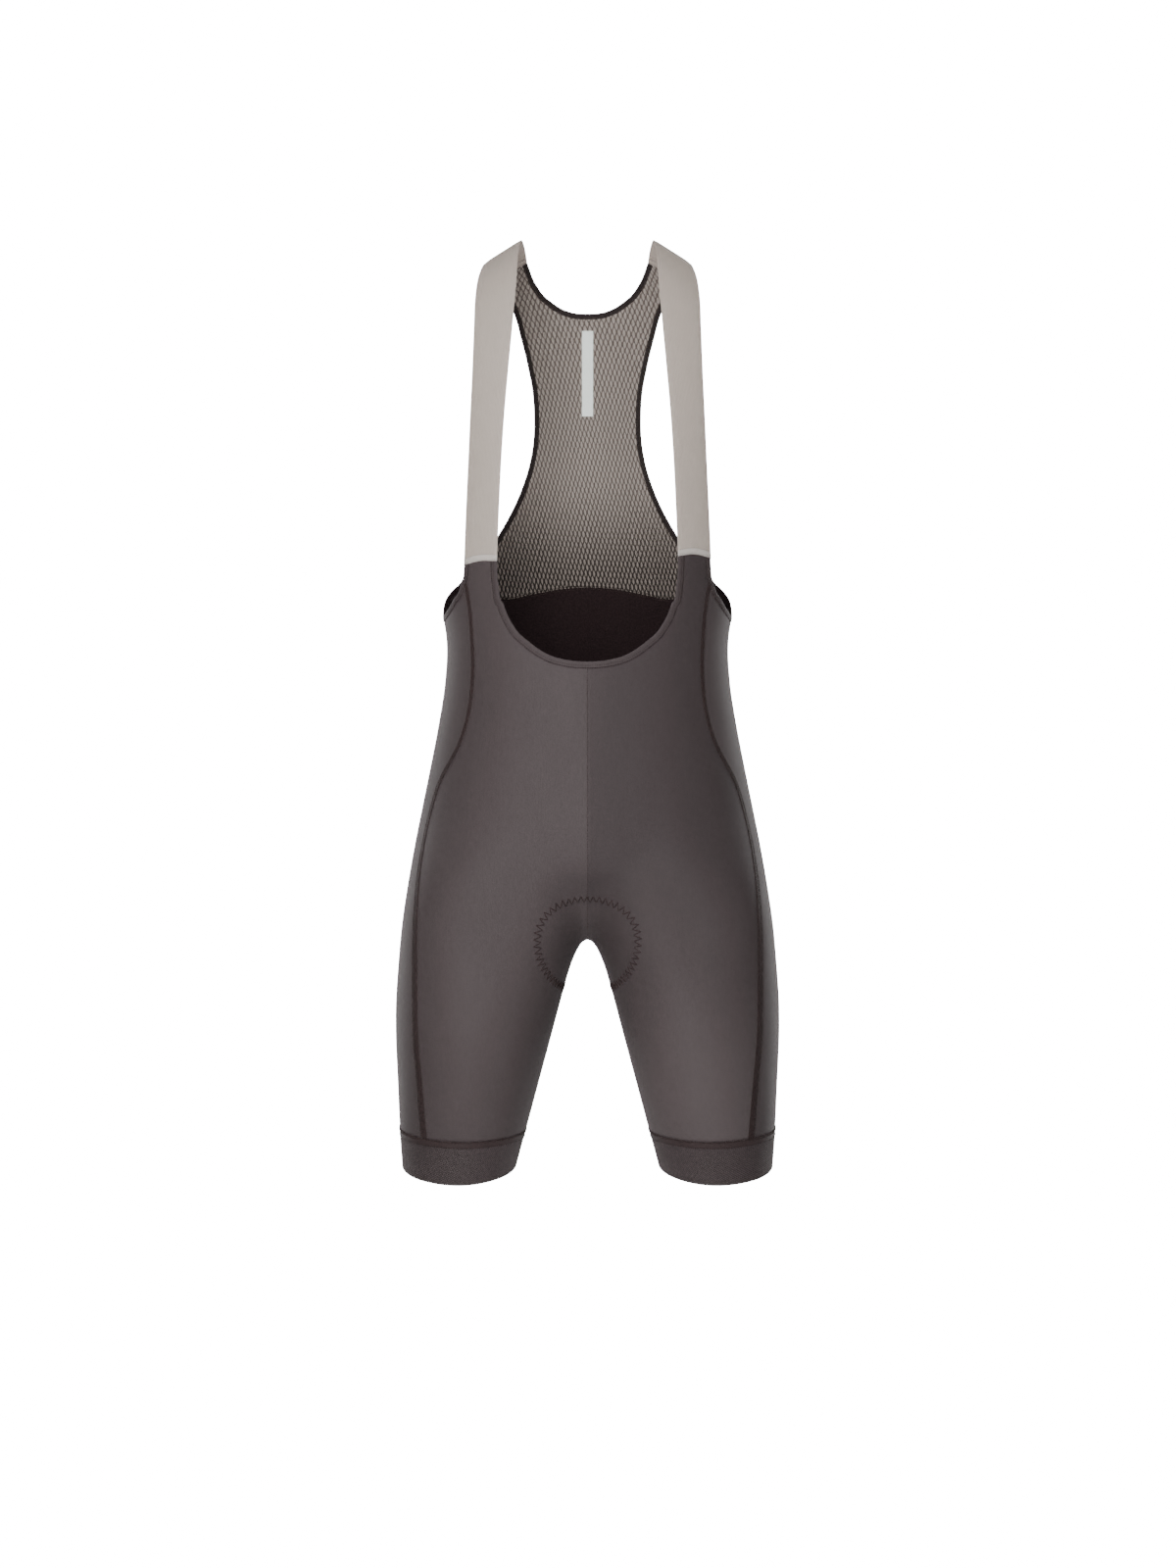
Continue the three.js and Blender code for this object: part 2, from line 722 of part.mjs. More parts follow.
// The mesh's own edges on one side, and its panel
function meshLines(lines) {
  const sideRuns = [
    ...spread(meshFoot, hornBase, meshSteps).slice(1),
    ...spread(hornBase, strapEnd, hornSteps).slice(1),
  ];
  const start = lines.armEdge[lines.armEdge.length - 1];
  const sideEdge = [start, ...sideRuns.map((run) => wrapPoint(meshSideOut(run), run))];
  const taper = (i) => mix(armholeBandWidth, meshBindingWidth, Math.min(i / 2, 1));
  const sidePanel = inside(sideEdge, taper, -1);
  sidePanel[0] = lines.armPanel[lines.armPanel.length - 1];
  const onEnd = (point) => wrapPoint(point.x, strapEnd);
  sidePanel[sidePanel.length - 1] = onEnd(sidePanel[sidePanel.length - 1]);
  const neckOuts = [
    ...spread(0, hornStart, neckSteps),
    ...spread(hornStart, hornTip, hornSteps).slice(1),
  ];
  const neckEdge = neckOuts.map((x) => wrapPoint(x, meshNeckRun(x)));
  const whole = bothSides(neckEdge, neckEdge);
  const neckPanel = inside(whole, neckBindingWidth, 1).slice(neckEdge.length - 1);
  neckPanel[0].setX(0);
  neckPanel[neckPanel.length - 1] = onEnd(neckPanel[neckPanel.length - 1]);
  return { sideEdge, sidePanel, neckEdge, neckPanel };
}

function meshSheet(mesh, seams) {
  const seam = bothSides([...seams.right].reverse(), [...seams.left].reverse());
  const grids = [];
  const bridgeOf = (from, to) => spread(0, 1, hornAcross).map((t) => {
    const [fromOut, fromRun] = wrapChart(from);
    const [toOut, toRun] = wrapChart(to);
    return wrapPoint(mix(fromOut, toOut, t), mix(fromRun, toRun, t));
  });
  const bridge = bridgeOf(mesh.neckPanel[neckSteps], mesh.sidePanel[meshSteps]);
  bridge[0] = mesh.neckPanel[neckSteps];
  bridge[hornAcross] = mesh.sidePanel[meshSteps];
  const halfTop = [...mesh.neckPanel.slice(0, neckSteps), ...bridge];
  grids.push(patch({
    bottom: seam,
    top: bothSides(halfTop, halfTop),
    left: mirrorAll(mesh.sidePanel.slice(0, meshSteps + 1)),
    right: mesh.sidePanel.slice(0, meshSteps + 1),
    toChart: wrapChart,
    toPoint: wrapPoint,
    hold: 2,
  }));
  const hornTop = bridgeOf(
    mesh.neckPanel[mesh.neckPanel.length - 1],
    mesh.sidePanel[mesh.sidePanel.length - 1],
  );
  hornTop[0] = mesh.neckPanel[mesh.neckPanel.length - 1];
  hornTop[hornAcross] = mesh.sidePanel[mesh.sidePanel.length - 1];
  const horn = patch({
    bottom: bridge,
    top: hornTop,
    left: mesh.neckPanel.slice(neckSteps),
    right: mesh.sidePanel.slice(meshSteps),
    toChart: wrapChart,
    toPoint: wrapPoint,
    hold: 1,
  });
  grids.push(horn);
  grids.push(horn.map((row) => mirrorAll(row).reverse()));
  const turned = grids.map((grid) => grid.map((row) => [...row].reverse()));
  return sheetOf(turned);
}

// Label: a short strip down the middle of the mesh's inner face
function labelSheet() {
  const rows = spread(labelBottom, labelTop, labelSteps).map((run) => (
    [labelWidth / 2, -labelWidth / 2].map((out) => wrapPoint(out, run))
  ));
  return sheetOf([rows]);
}

// Pad: rows that walk out from the middle line over the inside of the crotch
function padSheet() {
  const middle = [];
  const place = bodyPoint(0, padFront);
  let along = new THREE.Vector3(0, 1, -1);
  const end = padWidths[padWidths.length - 1].along;
  for (let s = 0; s <= end; s += padStride) {
    middle.push(place.clone());
    const normal = normalAt(place);
    along.addScaledVector(normal, -along.dot(normal)).normalize();
    place.copy(settle(place.addScaledVector(along, padStride)));
    place.setX(0);
  }
  const walk = (start, side, distance, steps) => {
    const line = [start.clone()];
    const point = start.clone();
    const heading = new THREE.Vector3(side, 0, 0);
    const hops = 8;
    for (let i = 0; i < steps; i += 1) {
      for (let h = 0; h < hops; h += 1) {
        const normal = normalAt(point);
        heading.addScaledVector(normal, -heading.dot(normal)).normalize();
        point.copy(settle(point.addScaledVector(heading, distance / steps / hops)));
      }
      line.push(point.clone());
    }
    return line;
  };
  const rows = spread(0, 1, padSteps).map((t) => {
    const eased = 0.5 - 0.5 * Math.cos(Math.PI * t);
    const s = end * mix(t, eased, 0.55);
    const start = middle[Math.min(Math.round(s / padStride), middle.length - 1)];
    const half = padHalf(s);
    const left = walk(start, 1, half, padAcross / 2);
    const right = walk(start, -1, half, padAcross / 2);
    return [...right.reverse(), ...left.slice(1)];
  });
  return sheetOf([rows.map((row) => row.reverse())]);
}

const material = (color, roughness) => new THREE.MeshStandardMaterial({
  color,
  roughness,
  metalness: 0,
});

const jersey = () => material(0x544d4c, 0.62);
const band = () => material(0x4b4443, 0.65);
const elastic = () => material(0xb4aca6, 0.7);
const openwork = () => material(0x8a827a, 0.85);
const dark = () => material(0x2d2524, 0.75);

const bibShorts = new THREE.Group();

function addPiece(name, geometry, look) {
  const mesh = new THREE.Mesh(geometry, look);
  mesh.name = name;
  bibShorts.add(mesh);
}

const lines = { left: linesOf(strapFoot.left), right: linesOf(strapFoot.right) };

['left', 'right'].forEach((side) => {
  const own = lines[side];
  const turn = (sheet) => (side === 'left' ? sheet : mirrorSheet(sheet));
  const mesh = meshLines(own);
  addPiece(`front_${side}`, wallOf(turn(frontSheet(own)), jerseyThick), jersey());
  addPiece(`back_${side}`, wallOf(turn(backSheet(own)), jerseyThick), jersey());
  addPiece(`${side}_gripper`, wallOf(turn(gripperSheet(own)), gripperThick), band());
  addPiece(`${side}_strap`, wallOf(turn(strapSheet(own)), strapThick), elastic());
  const armBand = stripOf([...own.armPanel], [...own.armEdge]);
  addPiece(`${side}_armhole_band`, wallOf(turn(armBand), turnedThick), band());
  const meshBand = stripOf([...mesh.sidePanel], [...mesh.sideEdge]);
  addPiece(`${side}_mesh_binding`, wallOf(turn(meshBand), bindingThick), dark());
});

const meshOwn = meshLines(lines.left);
const meshSeams = { left: meshSeamLine(lines.left), right: meshSeamLine(lines.right) };
addPiece('back_mesh', wallOf(meshSheet(meshOwn, meshSeams), meshThick), openwork());

const neckBinding = stripOf(
  bothSides(meshOwn.neckEdge, meshOwn.neckEdge),
  bothSides(meshOwn.neckPanel, meshOwn.neckPanel),
);
addPiece('neck_binding', wallOf(neckBinding, bindingThick), dark());

const scoopBand = stripOf(
  bothSides(lines.right.neckPanel, lines.left.neckPanel),
  bothSides(lines.right.neckEdge, lines.left.neckEdge),
);
addPiece('scoop_band', wallOf(scoopBand, turnedThick), band());

const labelLift = -(meshThick / 2 + seamGap + labelThick / 2);
addPiece('label', wallOf(labelSheet(), labelThick, labelLift), material(0xdee4e0, 0.6));

const padLift = -(jerseyThick / 2 + padGap + padThick / 2);
addPiece('chamois', wallOf(padSheet(), padThick, padLift), material(0x3a3434, 0.85));

export default bibShorts;
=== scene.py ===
"""Cycling bib shorts: fine cloth, seams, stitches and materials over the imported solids."""

import math

import bpy
import numpy as np
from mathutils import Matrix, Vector


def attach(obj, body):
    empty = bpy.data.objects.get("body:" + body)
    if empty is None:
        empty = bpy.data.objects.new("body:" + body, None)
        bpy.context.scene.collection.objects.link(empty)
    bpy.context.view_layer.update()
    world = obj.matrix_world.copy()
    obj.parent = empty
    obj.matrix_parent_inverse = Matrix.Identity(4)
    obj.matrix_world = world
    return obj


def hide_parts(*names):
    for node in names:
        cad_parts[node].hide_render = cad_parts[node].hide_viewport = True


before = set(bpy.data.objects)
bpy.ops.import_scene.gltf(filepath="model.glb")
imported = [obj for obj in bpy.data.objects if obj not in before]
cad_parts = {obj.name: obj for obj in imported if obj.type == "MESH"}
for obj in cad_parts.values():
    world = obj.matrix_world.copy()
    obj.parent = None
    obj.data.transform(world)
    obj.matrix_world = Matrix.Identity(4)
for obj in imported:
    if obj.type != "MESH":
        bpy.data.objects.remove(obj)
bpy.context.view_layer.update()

# Lengths are in millimetres until a mesh is made
MM = 0.001

# The camera stands level in front, where one pixel is one millimetre at the shoulders' plane
CAMERA_DISTANCE = 1900.0
CAMERA_HEIGHT = -552.0
CAMERA_SIDE = 0.5
SENSOR = 36.0
PICTURE_HEIGHT = 1600

# Wall thicknesses
JERSEY = 1.1
TURNED = 1.9
GRIPPER = 1.5
STRAP = 1.5
MESH = 0.9
BINDING = 2.0
LABEL = 0.7
PAD = 5.0

# Widths of narrow pieces
SCOOP_BAND = 6.5
ARMHOLE_BAND = 5.5
NECK_BINDING = 5.8
MESH_BINDING = 5.5
LABEL_WIDTH = 12.0

# The soft web between the legs: how wide it blends, and its most as a share of the legs' spread
CROTCH_BLEND = 44.0
CROTCH_SHARE = 0.6

# Heights, and runs over the shoulder, where shapes and pieces start and end
SHOULDER_BASE = -110.0
TAB_FOOT = -412.0
STRAP_START = -332.0
STRAP_LEVELS_IN = 40.0
STRAP_END = 25.4
SIDE_SEAM_FOOT = -903.2
PAD_FRONT = -663.5

# How many times finer than the solids each grid is
FINE = 6


def table(columns, rows):
    values = np.array(rows, float)
    return {name: values[:, i] for i, name in enumerate(columns.split())}


# Half of the worn figure at each height
FIGURE = table("height outer inner front back square", [
    (-956, 187.0, 77.0, -60.0, 58, 2.0),
    (-938, 188.0, 72.5, -62.0, 60, 2.0),
    (-917, 189.5, 66.9, -65.0, 62, 2.0),
    (-897, 190.6, 61.5, -69.0, 66, 2.05),
    (-852, 192.6, 49.4, -78.0, 76, 2.05),
    (-807, 194.5, 37.3, -85.0, 85, 2.1),
    (-777, 194.5, 29.3, -88.0, 90, 2.15),
    (-732, 191.5, 16.8, -91.5, 99, 2.45),
    (-692, 187.5, 4.7, -93.5, 110, 2.85),
    (-652, 182.0, -17.0, -96.0, 119, 2.7),
    (-612, 175.5, -82.0, -99.0, 120, 2.35),
    (-572, 167.5, -150.0, -101.0, 116, 2.2),
    (-532, 159.0, -159.0, -102.0, 108, 2.2),
    (-492, 151.0, -151.0, -102.0, 98, 2.15),
    (-450, 144.2, -144.2, -101.0, 88, 2.15),
    (-407, 142.3, -142.3, -101.0, 82, 2.15),
    (-380, 146.0, -146.0, -102.0, 82, 2.1),
    (-345, 149.0, -149.0, -103.5, 84, 2.1),
    (-300, 151.0, -151.0, -105.0, 91, 2.05),
    (-240, 156.0, -156.0, -106.0, 101, 2.0),
    (-170, 162.0, -162.0, -104.0, 105, 2.0),
    (-110, 162.0, -162.0, -98.0, 99, 2.0),
    (-70, 151.0, -151.0, -88.0, 89, 2.0),
    (-45, 131.0, -131.0, -79.0, 79, 2.0),
    (-24, 104.0, -104.0, -69.0, 68, 2.0),
    (-12, 85.0, -85.0, -63.0, 61, 2.0),
    (0, 66.0, -66.0, -57.0, 54, 2.0),
    (12, 46.0, -46.0, -50.0, 46, 2.0),
])

# Free edge of the low front neck
SCOOP = table("out height", [
    (-18.5, -432.2), (0, -433.6), (18.5, -432.2), (37.5, -426.8), (56.5, -414.2),
    (70.9, -399.7), (81.5, -377.5), (86.6, -357.4), (88.0, -335.0), (88.2, -322.0),
])

# Seam between the front and the side
SIDE_SEAM = table("height out", [
    (-930, 159.5), (-904, 161.5), (-842, 166.0), (-803, 169.0), (-745, 169.6),
    (-690, 169.0), (-630, 165.3), (-585, 157.5), (-552, 147.5), (-513, 126.5),
    (-480, 116.5), (-446, 112.6), (-407, 113.4), (-383, 115.2), (-352, 119.6), (-330, 122.0),
])

# Free edge of the lower armhole, by degrees round from the centre front
ARMHOLE = table("angle height", [
    (60.6, -322.0), (61.0, -336.0), (62.9, -352.9), (68.4, -368.8), (77.6, -381.2),
    (83.0, -382.5), (87.5, -377.5), (92.0, -366.5), (96.5, -358.0), (101.8, -349.0),
    (105.2, -343.5), (110.0, -331.0),
])

# Free edge of the mesh's armhole, by the run over the shoulder
MESH_SIDE = table("run out", [
    (24.0, 99.6), (34.0, 95.5), (45.0, 88.0), (63.6, 77.4), (83.4, 70.9), (107.5, 63.6),
    (121.7, 60.4), (137.0, 58.3), (160.0, 57.2), (184.0, 58.0), (200.0, 60.2), (216.0, 63.7),
    (232.0, 68.6), (249.0, 74.9), (265.0, 82.0), (290.5, 95.4), (331.0, 120.3),
])

# Free edge of the mesh's neck
MESH_NECK = table("out run", [
    (-18.2, 65.3), (0, 66.6), (18.2, 65.3), (35.9, 58.7), (51.2, 47.1), (58.4, 36.5),
    (62.8, 25.4),
])

# Seam between the mesh and the jersey
MESH_SEAM = table("out height", [
    (-23.0, -344.3), (0, -343.0), (23.0, -344.3), (46.0, -348.2), (68.0, -353.4),
    (86.0, -357.2), (99.0, -355.0), (109.0, -346.5), (121.0, -330.0),
])

# The two edges of a strap along its run
STRAP_EDGE = table("run inner outer", [
    (-345.0, 88.1, 121.6), (-330.0, 88.0, 121.3), (-287.0, 86.3, 119.6), (-245.0, 84.3, 117.6),
    (-188.0, 80.5, 114.9), (-145.0, 76.7, 112.9), (-104.0, 73.0, 111.6), (-69.0, 69.9, 110.8),
    (-45.0, 69.0, 108.6), (-34.0, 68.2, 106.6), (-2.0, 65.8, 102.5), (25.4, 62.8, 99.5),
])

# Heights of each strap's foot at its inner edge, middle and outer edge
STRAP_FOOT = {
    "left": {"inner": -330.4, "middle": -327.4, "outer": -329.8},
    "right": {"inner": -335.2, "middle": -334.0, "outer": -336.6},
}

# Seam and hem of the leg by the turn round it
LEG_END = table("turn seam hem", [
    (0, -904.0, -940.0), (0.12, -904.5, -946.0), (0.22, -905.0, -948.8), (0.36, -903.0, -945.8),
    (0.5, -901.0, -939.5), (0.75, -902.0, -942.0), (1, -904.0, -940.0),
])

# Rows up the inseam, and from the crotch up the centre front and centre back
INSEAM_ROWS = [-904, -877, -850, -824, -799, -777, -758, -742, -729, -720, -714]
FRONT_ROWS = [-708.5, -703.5, -694, -681, -664, -644, -620, -594, -566, -536, -504, -471]
BACK_ROWS = [-708.5, -702, -692, -678, -660, -640, -617, -592, -565, -536, -506, -475, -443, -410, -376]

# Half widths of the pad along its middle line
PAD_WIDTH = table("along half", [
    (0, 38.0), (6, 53.0), (14, 62.0), (26, 69.0), (42, 73.0), (54, 70.0), (68, 64.0),
    (86, 60.0), (110, 62.0), (140, 71.0), (170, 78.0), (195, 78.0), (215, 69.0),
    (230, 54.0), (240, 34.0),
])


def curve(rows, key, column):
    """A smooth curve through two columns of a table."""
    at, value = rows[key], rows[column]
    step = np.diff(at)
    chord = np.diff(value) / step
    slope = np.empty(len(at))
    slope[1:-1] = (chord[:-1] * step[1:] + chord[1:] * step[:-1]) / (step[:-1] + step[1:])
    slope[0], slope[-1] = chord[0], chord[-1]

    def evaluate(x):
        x = np.clip(np.asarray(x, float), at[0], at[-1])
        i = np.clip(np.searchsorted(at, x, side="right") - 1, 0, len(at) - 2)
        t = (x - at[i]) / step[i]
        s = 1 - t
        ends = value[i] * (1 + 2 * t) * s * s + value[i + 1] * t * t * (3 - 2 * t)
        return ends + step[i] * (slope[i] * t * s * s - slope[i + 1] * t * t * s)

    return evaluate


figure = {name: curve(FIGURE, "height", name) for name in FIGURE if name != "height"}
scoop_height = curve(SCOOP, "out", "height")
seam_out = curve(SIDE_SEAM, "height", "out")
armhole_height = curve(ARMHOLE, "angle", "height")
mesh_side_out = curve(MESH_SIDE, "run", "out")
mesh_neck_run = curve(MESH_NECK, "out", "run")
mesh_seam_height = curve(MESH_SEAM, "out", "height")
strap_inner = curve(STRAP_EDGE, "run", "inner")
strap_outer = curve(STRAP_EDGE, "run", "outer")
seam_height = curve(LEG_END, "turn", "seam")
hem_height = curve(LEG_END, "turn", "hem")
pad_half = curve(PAD_WIDTH, "along", "half")


def root(rising, low, high, steps=34):
    """Where a rising function of an array passes zero."""
    low = np.array(low, float)
    high = np.array(high, float)
    for _ in range(steps):
        middle = (low + high) / 2
        below = rising(middle) < 0
        low = np.where(below, middle, low)
        high = np.where(below, high, middle)
    return (low + high) / 2


def section_at(height):
    outer, front, back = figure["outer"](height), figure["front"](height), figure["back"](height)
    out = np.maximum((outer + figure["inner"](height)) / 2, 0)
    return {
        "out": out,
        "half_width": outer - out,
        "deep": (front + back) / 2,
        "half_depth": (back - front) / 2,
        "square": figure["square"](height),
        "blend": np.maximum(np.minimum(CROTCH_BLEND, CROTCH_SHARE * out), 1e-6),
    }


def leg_field(x, y, section):
    across = np.abs((x - section["out"]) / section["half_width"]) + 1e-9
    along = np.abs((y - section["deep"]) / section["half_depth"]) + 1e-9
    power = section["square"]
    radius = (across ** power + along ** power) ** (1 / power)
    steep = np.hypot(
        across ** (power - 1) / section["half_width"],
        along ** (power - 1) / section["half_depth"],
    )
    return (radius - 1) / (radius ** (1 - power) * steep)


def field(x, y, z, section=None):
    """Zero on the worn surface, positive outside it."""
    section = section or section_at(z)
    near = leg_field(np.abs(x), y, section)
    far = leg_field(-np.abs(x), y, section)
    overlap = np.maximum(section["blend"] - np.abs(near - far), 0)
    return np.minimum(near, far) - overlap * overlap / (4 * section["blend"])


def slope_at(points):
    h = 0.05
    x, y, z = points[..., 0], points[..., 1], points[..., 2]
    section = section_at(z)
    gradient = np.stack([
        field(x + h, y, z, section) - field(x - h, y, z, section),
        field(x, y + h, z, section) - field(x, y - h, z, section),
        field(x, y, z + h) - field(x, y, z - h),
    ], -1)
    return gradient / (2 * h)


def unit(vectors):
    return vectors / np.maximum(np.linalg.norm(vectors, axis=-1, keepdims=True), 1e-12)


def normal_at(points):
    return unit(slope_at(points))


def settle(points):
    """Points moved on to the worn surface."""
    points = np.array(points, float)
    for _ in range(4):
        slope = slope_at(points)
        value = field(points[..., 0], points[..., 1], points[..., 2])
        points = points - slope * (value / (slope ** 2).sum(-1))[..., None]
    return points


def angle_at(turn, section, height):
    inside = field(0 * height, section["deep"], height, section) < 0
    reach = root(
        lambda r: field(0 * height, section["deep"] - r, height, section),
        0 * height, 1.5 * section["half_depth"],
    )
    gap = np.arctan2(reach / section["half_depth"], section["out"] / section["half_width"])
    gap = np.where(inside, gap, 0.0)
    side = 1 - 2 * np.minimum(turn, 1 - turn)
    power = 3 - 4 * gap / math.pi
    angle = math.pi * (1 - side) + gap * np.sign(side) * np.abs(side) ** power
    return np.where(turn <= 0.5, angle, 2 * math.pi - angle)


def body_point(turn, height):
    """The worn surface by turn (0 centre front or inseam, 1 centre back) and height."""
    turn, height = np.broadcast_arrays(np.asarray(turn, float), np.asarray(height, float))
    section = section_at(height)
    angle = angle_at(turn, section, height)
    dx = -np.cos(angle) * section["half_width"]
    dy = -np.sin(angle) * section["half_depth"]
    inward = dx < -1e-6
    limit = np.where(inward, np.minimum(1.6, section["out"] / np.where(inward, -dx, 1)), 1.6)
    reach = root(
        lambda r: field(section["out"] + r * dx, section["deep"] + r * dy, height, section),
        0.6 + 0 * height, limit,
    )
    return np.stack([section["out"] + reach * dx, section["deep"] + reach * dy, height], -1)


def body_chart(points):
    height = points[..., 2]
    section = section_at(height)
    across = (points[..., 0] - section["out"]) / section["half_width"]
    along = (points[..., 1] - section["deep"]) / section["half_depth"]
    angle = np.mod(np.arctan2(-along, -across), 2 * math.pi)
    turn = root(lambda u: angle_at(u, section, height) - angle, 0 * height, 1 + 0 * height)
    return np.stack([turn, height], -1)


def back_chart(points):
    chart = body_chart(points)
    chart[..., 0] = np.where(chart[..., 0] < 0.2, 1.0, chart[..., 0])
    return chart


def wrap_point(out, run):
    """The worn surface by distance out and run up the front, over the shoulder, down the back."""
    out, run = np.broadcast_arrays(np.asarray(out, float), np.asarray(run, float))
    base = np.minimum(SHOULDER_BASE, -np.abs(run))
    swing = np.clip(run, SHOULDER_BASE, -SHOULDER_BASE) - SHOULDER_BASE
    lift = math.pi * swing / (-2 * SHOULDER_BASE)
    dy, dz = -np.cos(lift), np.sin(lift)
    reach = root(lambda r: field(out, r * dy, base + r * dz), 0 * out, 260 + 0 * out)
    return np.stack([out, reach * dy, base + reach * dz], -1)


def wrap_chart(points):
    straight = np.where(points[..., 1] < 0, points[..., 2], -points[..., 2])
    lift = np.arctan2(points[..., 2] - SHOULDER_BASE, -points[..., 1])
    over = SHOULDER_BASE - 2 * SHOULDER_BASE * lift / math.pi
    run = np.where(points[..., 2] < SHOULDER_BASE, straight, over)
    return np.stack([points[..., 0], run], -1)


def ring_point(degrees, height):
    angle = np.radians(np.asarray(degrees, float))
    height = np.asarray(height, float) + 0 * angle
    reach = root(
        lambda r: field(r * np.sin(angle), -r * np.cos(angle), height),
        20 + 0 * angle, 260 + 0 * angle,
    )
    return np.stack([reach * np.sin(angle), -reach * np.cos(angle), height], -1)


def spread(start, end, steps, ends=0.0):
    """Even steps, or closer ones towards both ends."""
    t = np.linspace(0, 1, steps + 1)
    eased = 0.5 - 0.5 * np.cos(math.pi * t)
    return start + (end - start) * ((1 - ends) * t + ends * eased)


def refined(values, ends=0.0):
    """A short list of numbers with more between them."""
    last = len(values) - 1
    return np.interp(spread(0, last, last * FINE, ends), np.arange(last + 1), values)


def mirror(points):
    return points * np.array([-1.0, 1.0, 1.0])


def both_sides(right, left):
    return np.concatenate([mirror(right)[::-1], left[1:]])


def inside(edge, width, hand):
    """The line a given width inside an edge: hand 1 is its left as seen from outside."""
    along = np.empty_like(edge)
    along[1:-1] = edge[2:] - edge[:-2]
    along[0], along[-1] = edge[1] - edge[0], edge[-1] - edge[-2]
    inward = unit(np.cross(normal_at(edge), unit(along)))
    return settle(edge + inward * (hand * np.broadcast_to(width, len(edge)))[:, None])


def patch(bottom, top, left, right, to_chart, to_point, hold=3.0):
    """A grid of points between four edges, in rows from bottom to top."""
    b, t, l, r = (to_chart(edge) for edge in (bottom, top, left, right))
    s = np.linspace(0, 1, len(b))[None, :, None]
    v = np.linspace(0, 1, len(l))[:, None, None]
    base = l[:, None] * (1 - s) + r[:, None] * s
    low = (b - (b[0] * (1 - s[0]) + b[-1] * s[0]))[None]
    high = (t - (t[0] * (1 - s[0]) + t[-1] * s[0]))[None]
    chart = base + low * (1 - v) ** hold + high * v ** hold
    grid = to_point(chart[..., 0], chart[..., 1])
    grid[0], grid[-1] = bottom, top
    grid[:, 0], grid[:, -1] = left, right
    return grid


crotch_height = float(root(
    lambda z: -field(0 * z, section_at(z)["deep"], z), np.array(-760.0), np.array(-660.0),
))
crotch_point = np.array([0, float(section_at(np.array(crotch_height))["deep"]), crotch_height])


def seam_point(height):
    return wrap_point(seam_out(height), height)


